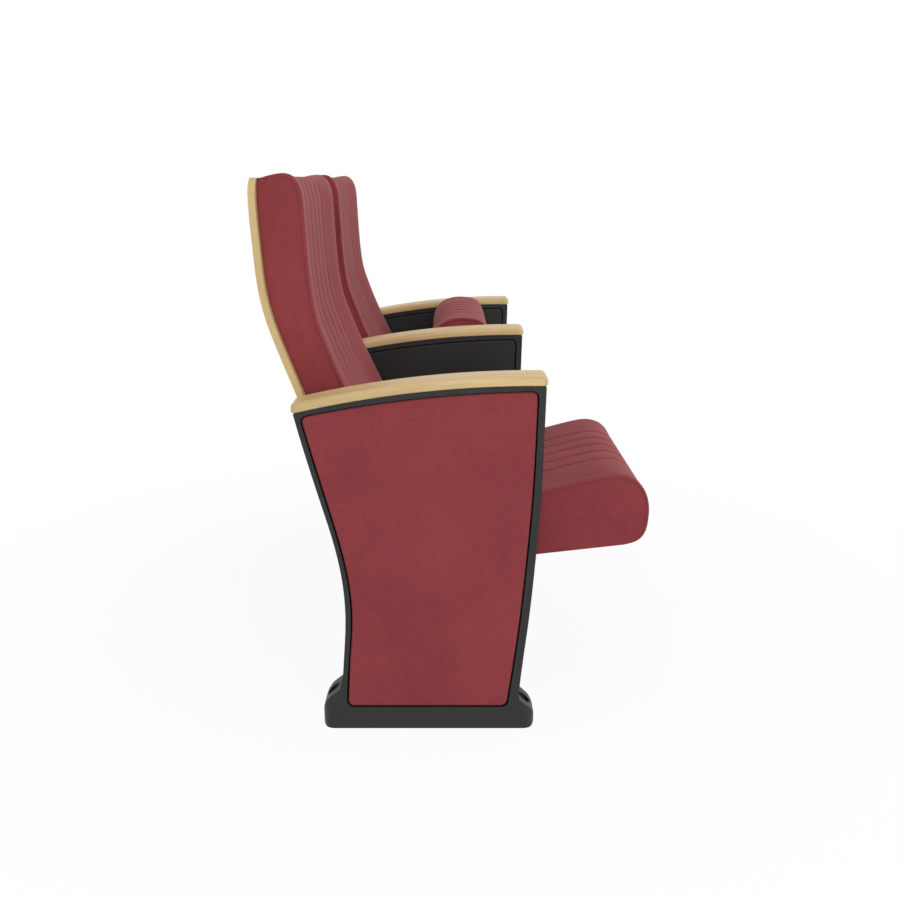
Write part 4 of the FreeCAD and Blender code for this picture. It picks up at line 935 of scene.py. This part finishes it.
class SEATS_OT_finish_mouldings(bpy.types.Operator):
    """Finish the inner panels, seat pans, bushes, clips and sleeves"""
    bl_idname = "seats.finish_mouldings"
    bl_label = "Mouldings"

    def execute(self, context):
        colour = tuple(context.scene.seat_colours.moulding)
        finish_nodes(coated("black_moulding", colour, 1400, 0.48, 0.0002), "inner_panel_", "seat_pan_")
        finish_nodes(coated("natural_nylon", (0.6, 0.6, 0.56), 300, 0.45, 0.0001), "hinge_bushes_",
                     "panel_clips")
        finish_nodes(coated("black_rubber", (0.02, 0.02, 0.02), 500, 0.8, 0.0003), "stop_sleeves")
        return {"FINISHED"}


class SEATS_OT_finish_steel(bpy.types.Operator):
    """Finish the brackets, pins, bolts, rings and springs"""
    bl_idname = "seats.finish_steel"
    bl_label = "Steel parts"

    def execute(self, context):
        plated = tuple(context.scene.seat_colours.plated)
        finish_nodes(coated("satin_black_steel", (0.035, 0.035, 0.037), 700, 0.42, 0.00015),
                     "hinge_bracket_", "hinge_screws_", "back_bracket_", "bracket_bolts",
                     "shell_screws", "back_board_screws")
        finish_nodes(bare_steel("zinc_plate", plated, 0.32), "pivot_pin_", "stop_bolts",
                     "armrest_screws", "foot_screws")
        finish_nodes(bare_steel("spring_steel", (0.2, 0.2, 0.21), 0.38), "helper_spring_",
                     "pin_rings")
        return {"FINISHED"}


class SEATS_OT_set_stage(bpy.types.Operator):
    """Set the floor, the light and the camera"""
    bl_idname = "seats.set_stage"
    bl_label = "Stage"

    def execute(self, context):
        scene = context.scene
        scene.view_settings.view_transform = "Standard"
        settings = scene.seat_stage
        make_floor()
        make_surround(settings.surround)
        lamp("key_lamp", settings.key, *KEY_LAMP)
        lamp("top_lamp", settings.top, *TOP_LAMP)
        lamp("side_lamp", SIDE_LAMP_SHARE * settings.key, *SIDE_LAMP)
        make_camera()
        return {"FINISHED"}


def seen_directly(nodes):
    """1 where a ray comes from the camera, a mirror or glass, and 0 for other light."""
    ways = [nodes.add("ShaderNodeLightPath", {}, {}, output)
            for output in ("Is Camera Ray", "Is Glossy Ray", "Is Transmission Ray")]
    return nodes.add("ShaderNodeClamp", {}, {0: ways[0] + ways[1] + ways[2]})


def make_floor():
    """A pale floor that keeps a soft shadow and meets the white background without an edge."""
    form = bmesh.new()
    bmesh.ops.create_grid(form, x_segments=8, y_segments=8, size=FLOOR_HALF)
    mesh = bpy.data.meshes.new("studio_floor")
    form.to_mesh(mesh)
    form.free()
    floor = in_scene("studio_floor", mesh)
    floor.location = (0, 0, -FLOOR_DROP)
    paint = Finish("pale_floor", Roughness=0.9, Specular_IOR_Level=0.0, Base_Color=(0.86, 0.86, 0.86))
    glow = paint.add("ShaderNodeEmission", {}, {"Color": WHITE, "Strength": 1.0})
    far = paint.add("ShaderNodeVectorMath", {"operation": "LENGTH"}, {0: paint.place}, "Value")
    share = FLOOR_GLOW + paint.ranged(far, *FLOOR_GLOW_REACH) * (1 - FLOOR_GLOW)
    paint.show(paint.add("ShaderNodeMixShader", {}, {
        0: seen_directly(paint) * share, 1: paint.shading, 2: glow}))
    mesh.materials.append(paint.material)


def make_surround(strength):
    """Even light from all round, shown as white."""
    world = bpy.data.worlds.new("surround")
    bpy.context.scene.world = world
    air = Nodes(world, "ShaderNodeOutputWorld")
    light = air.add("ShaderNodeBackground", {}, {"Color": WHITE, "Strength": strength})
    white = air.add("ShaderNodeBackground", {}, {"Color": WHITE, "Strength": 1.0})
    air.show(air.add("ShaderNodeMixShader", {}, {0: seen_directly(air), 1: light, 2: white}))


def lamp(name, power, size, place, target):
    """A broad square lamp that faces a point."""
    light = bpy.data.lights.new(name, "AREA")
    light.energy = power
    light.size = size
    holder = in_scene(name, light)
    holder.location = place
    way = np.array(target, float) - np.array(place, float)
    holder.rotation_euler = (
        math.atan2(math.hypot(way[0], way[1]), -way[2]), 0, math.atan2(way[1], way[0]) - math.pi / 2)


def make_camera():
    """The photograph's viewpoint."""
    camera = bpy.data.cameras.new("photo_view")
    camera.sensor_width = CAMERA_SENSOR
    camera.lens = CAMERA_LENS
    camera.shift_x = CAMERA_SHIFT
    holder = in_scene("photo_view", camera)
    holder.location = CAMERA_PLACE
    holder.rotation_euler = (math.radians(90 - CAMERA_DIP), 0, 0)
    bpy.context.scene.camera = holder


STEPS = (SEATS_OT_make_seat_cushions, SEATS_OT_make_back_cushions, SEATS_OT_make_panel_covers,
         SEATS_OT_finish_castings, SEATS_OT_finish_woodwork, SEATS_OT_finish_mouldings,
         SEATS_OT_finish_steel, SEATS_OT_set_stage)


class SEATS_PT_sidebar(bpy.types.Panel):
    """Lists the steps that dress the seats"""
    bl_idname = "SEATS_PT_sidebar"
    bl_label = "Tip up seats"
    bl_space_type = "VIEW_3D"
    bl_region_type = "UI"
    bl_category = "Tip up seats"

    def draw(self, context):
        for step in STEPS:
            self.layout.operator(step.bl_idname)
        for group in (context.scene.seat_sizes, context.scene.seat_colours, context.scene.seat_stage):
            box = self.layout.box()
            for key in group.bl_rna.properties.keys():
                if key not in ("rna_type", "name"):
                    box.prop(group, key)


CLASSES = (UpholsterySizes, FinishColours, StageSettings) + STEPS + (SEATS_PT_sidebar,)


def register():
    for item in CLASSES:
        bpy.utils.register_class(item)
    bpy.types.Scene.seat_sizes = PointerProperty(type=UpholsterySizes)
    bpy.types.Scene.seat_colours = PointerProperty(type=FinishColours)
    bpy.types.Scene.seat_stage = PointerProperty(type=StageSettings)


def unregister():
    del bpy.types.Scene.seat_stage
    del bpy.types.Scene.seat_colours
    del bpy.types.Scene.seat_sizes
    for item in reversed(CLASSES):
        bpy.utils.unregister_class(item)


def main():
    register()
    bpy.ops.seats.set_stage()
    bpy.ops.seats.make_seat_cushions()
    bpy.ops.seats.make_back_cushions()
    bpy.ops.seats.make_panel_covers()
    bpy.ops.seats.finish_castings()
    bpy.ops.seats.finish_woodwork()
    bpy.ops.seats.finish_mouldings()
    bpy.ops.seats.finish_steel()


if __name__ == "__main__":
    main()
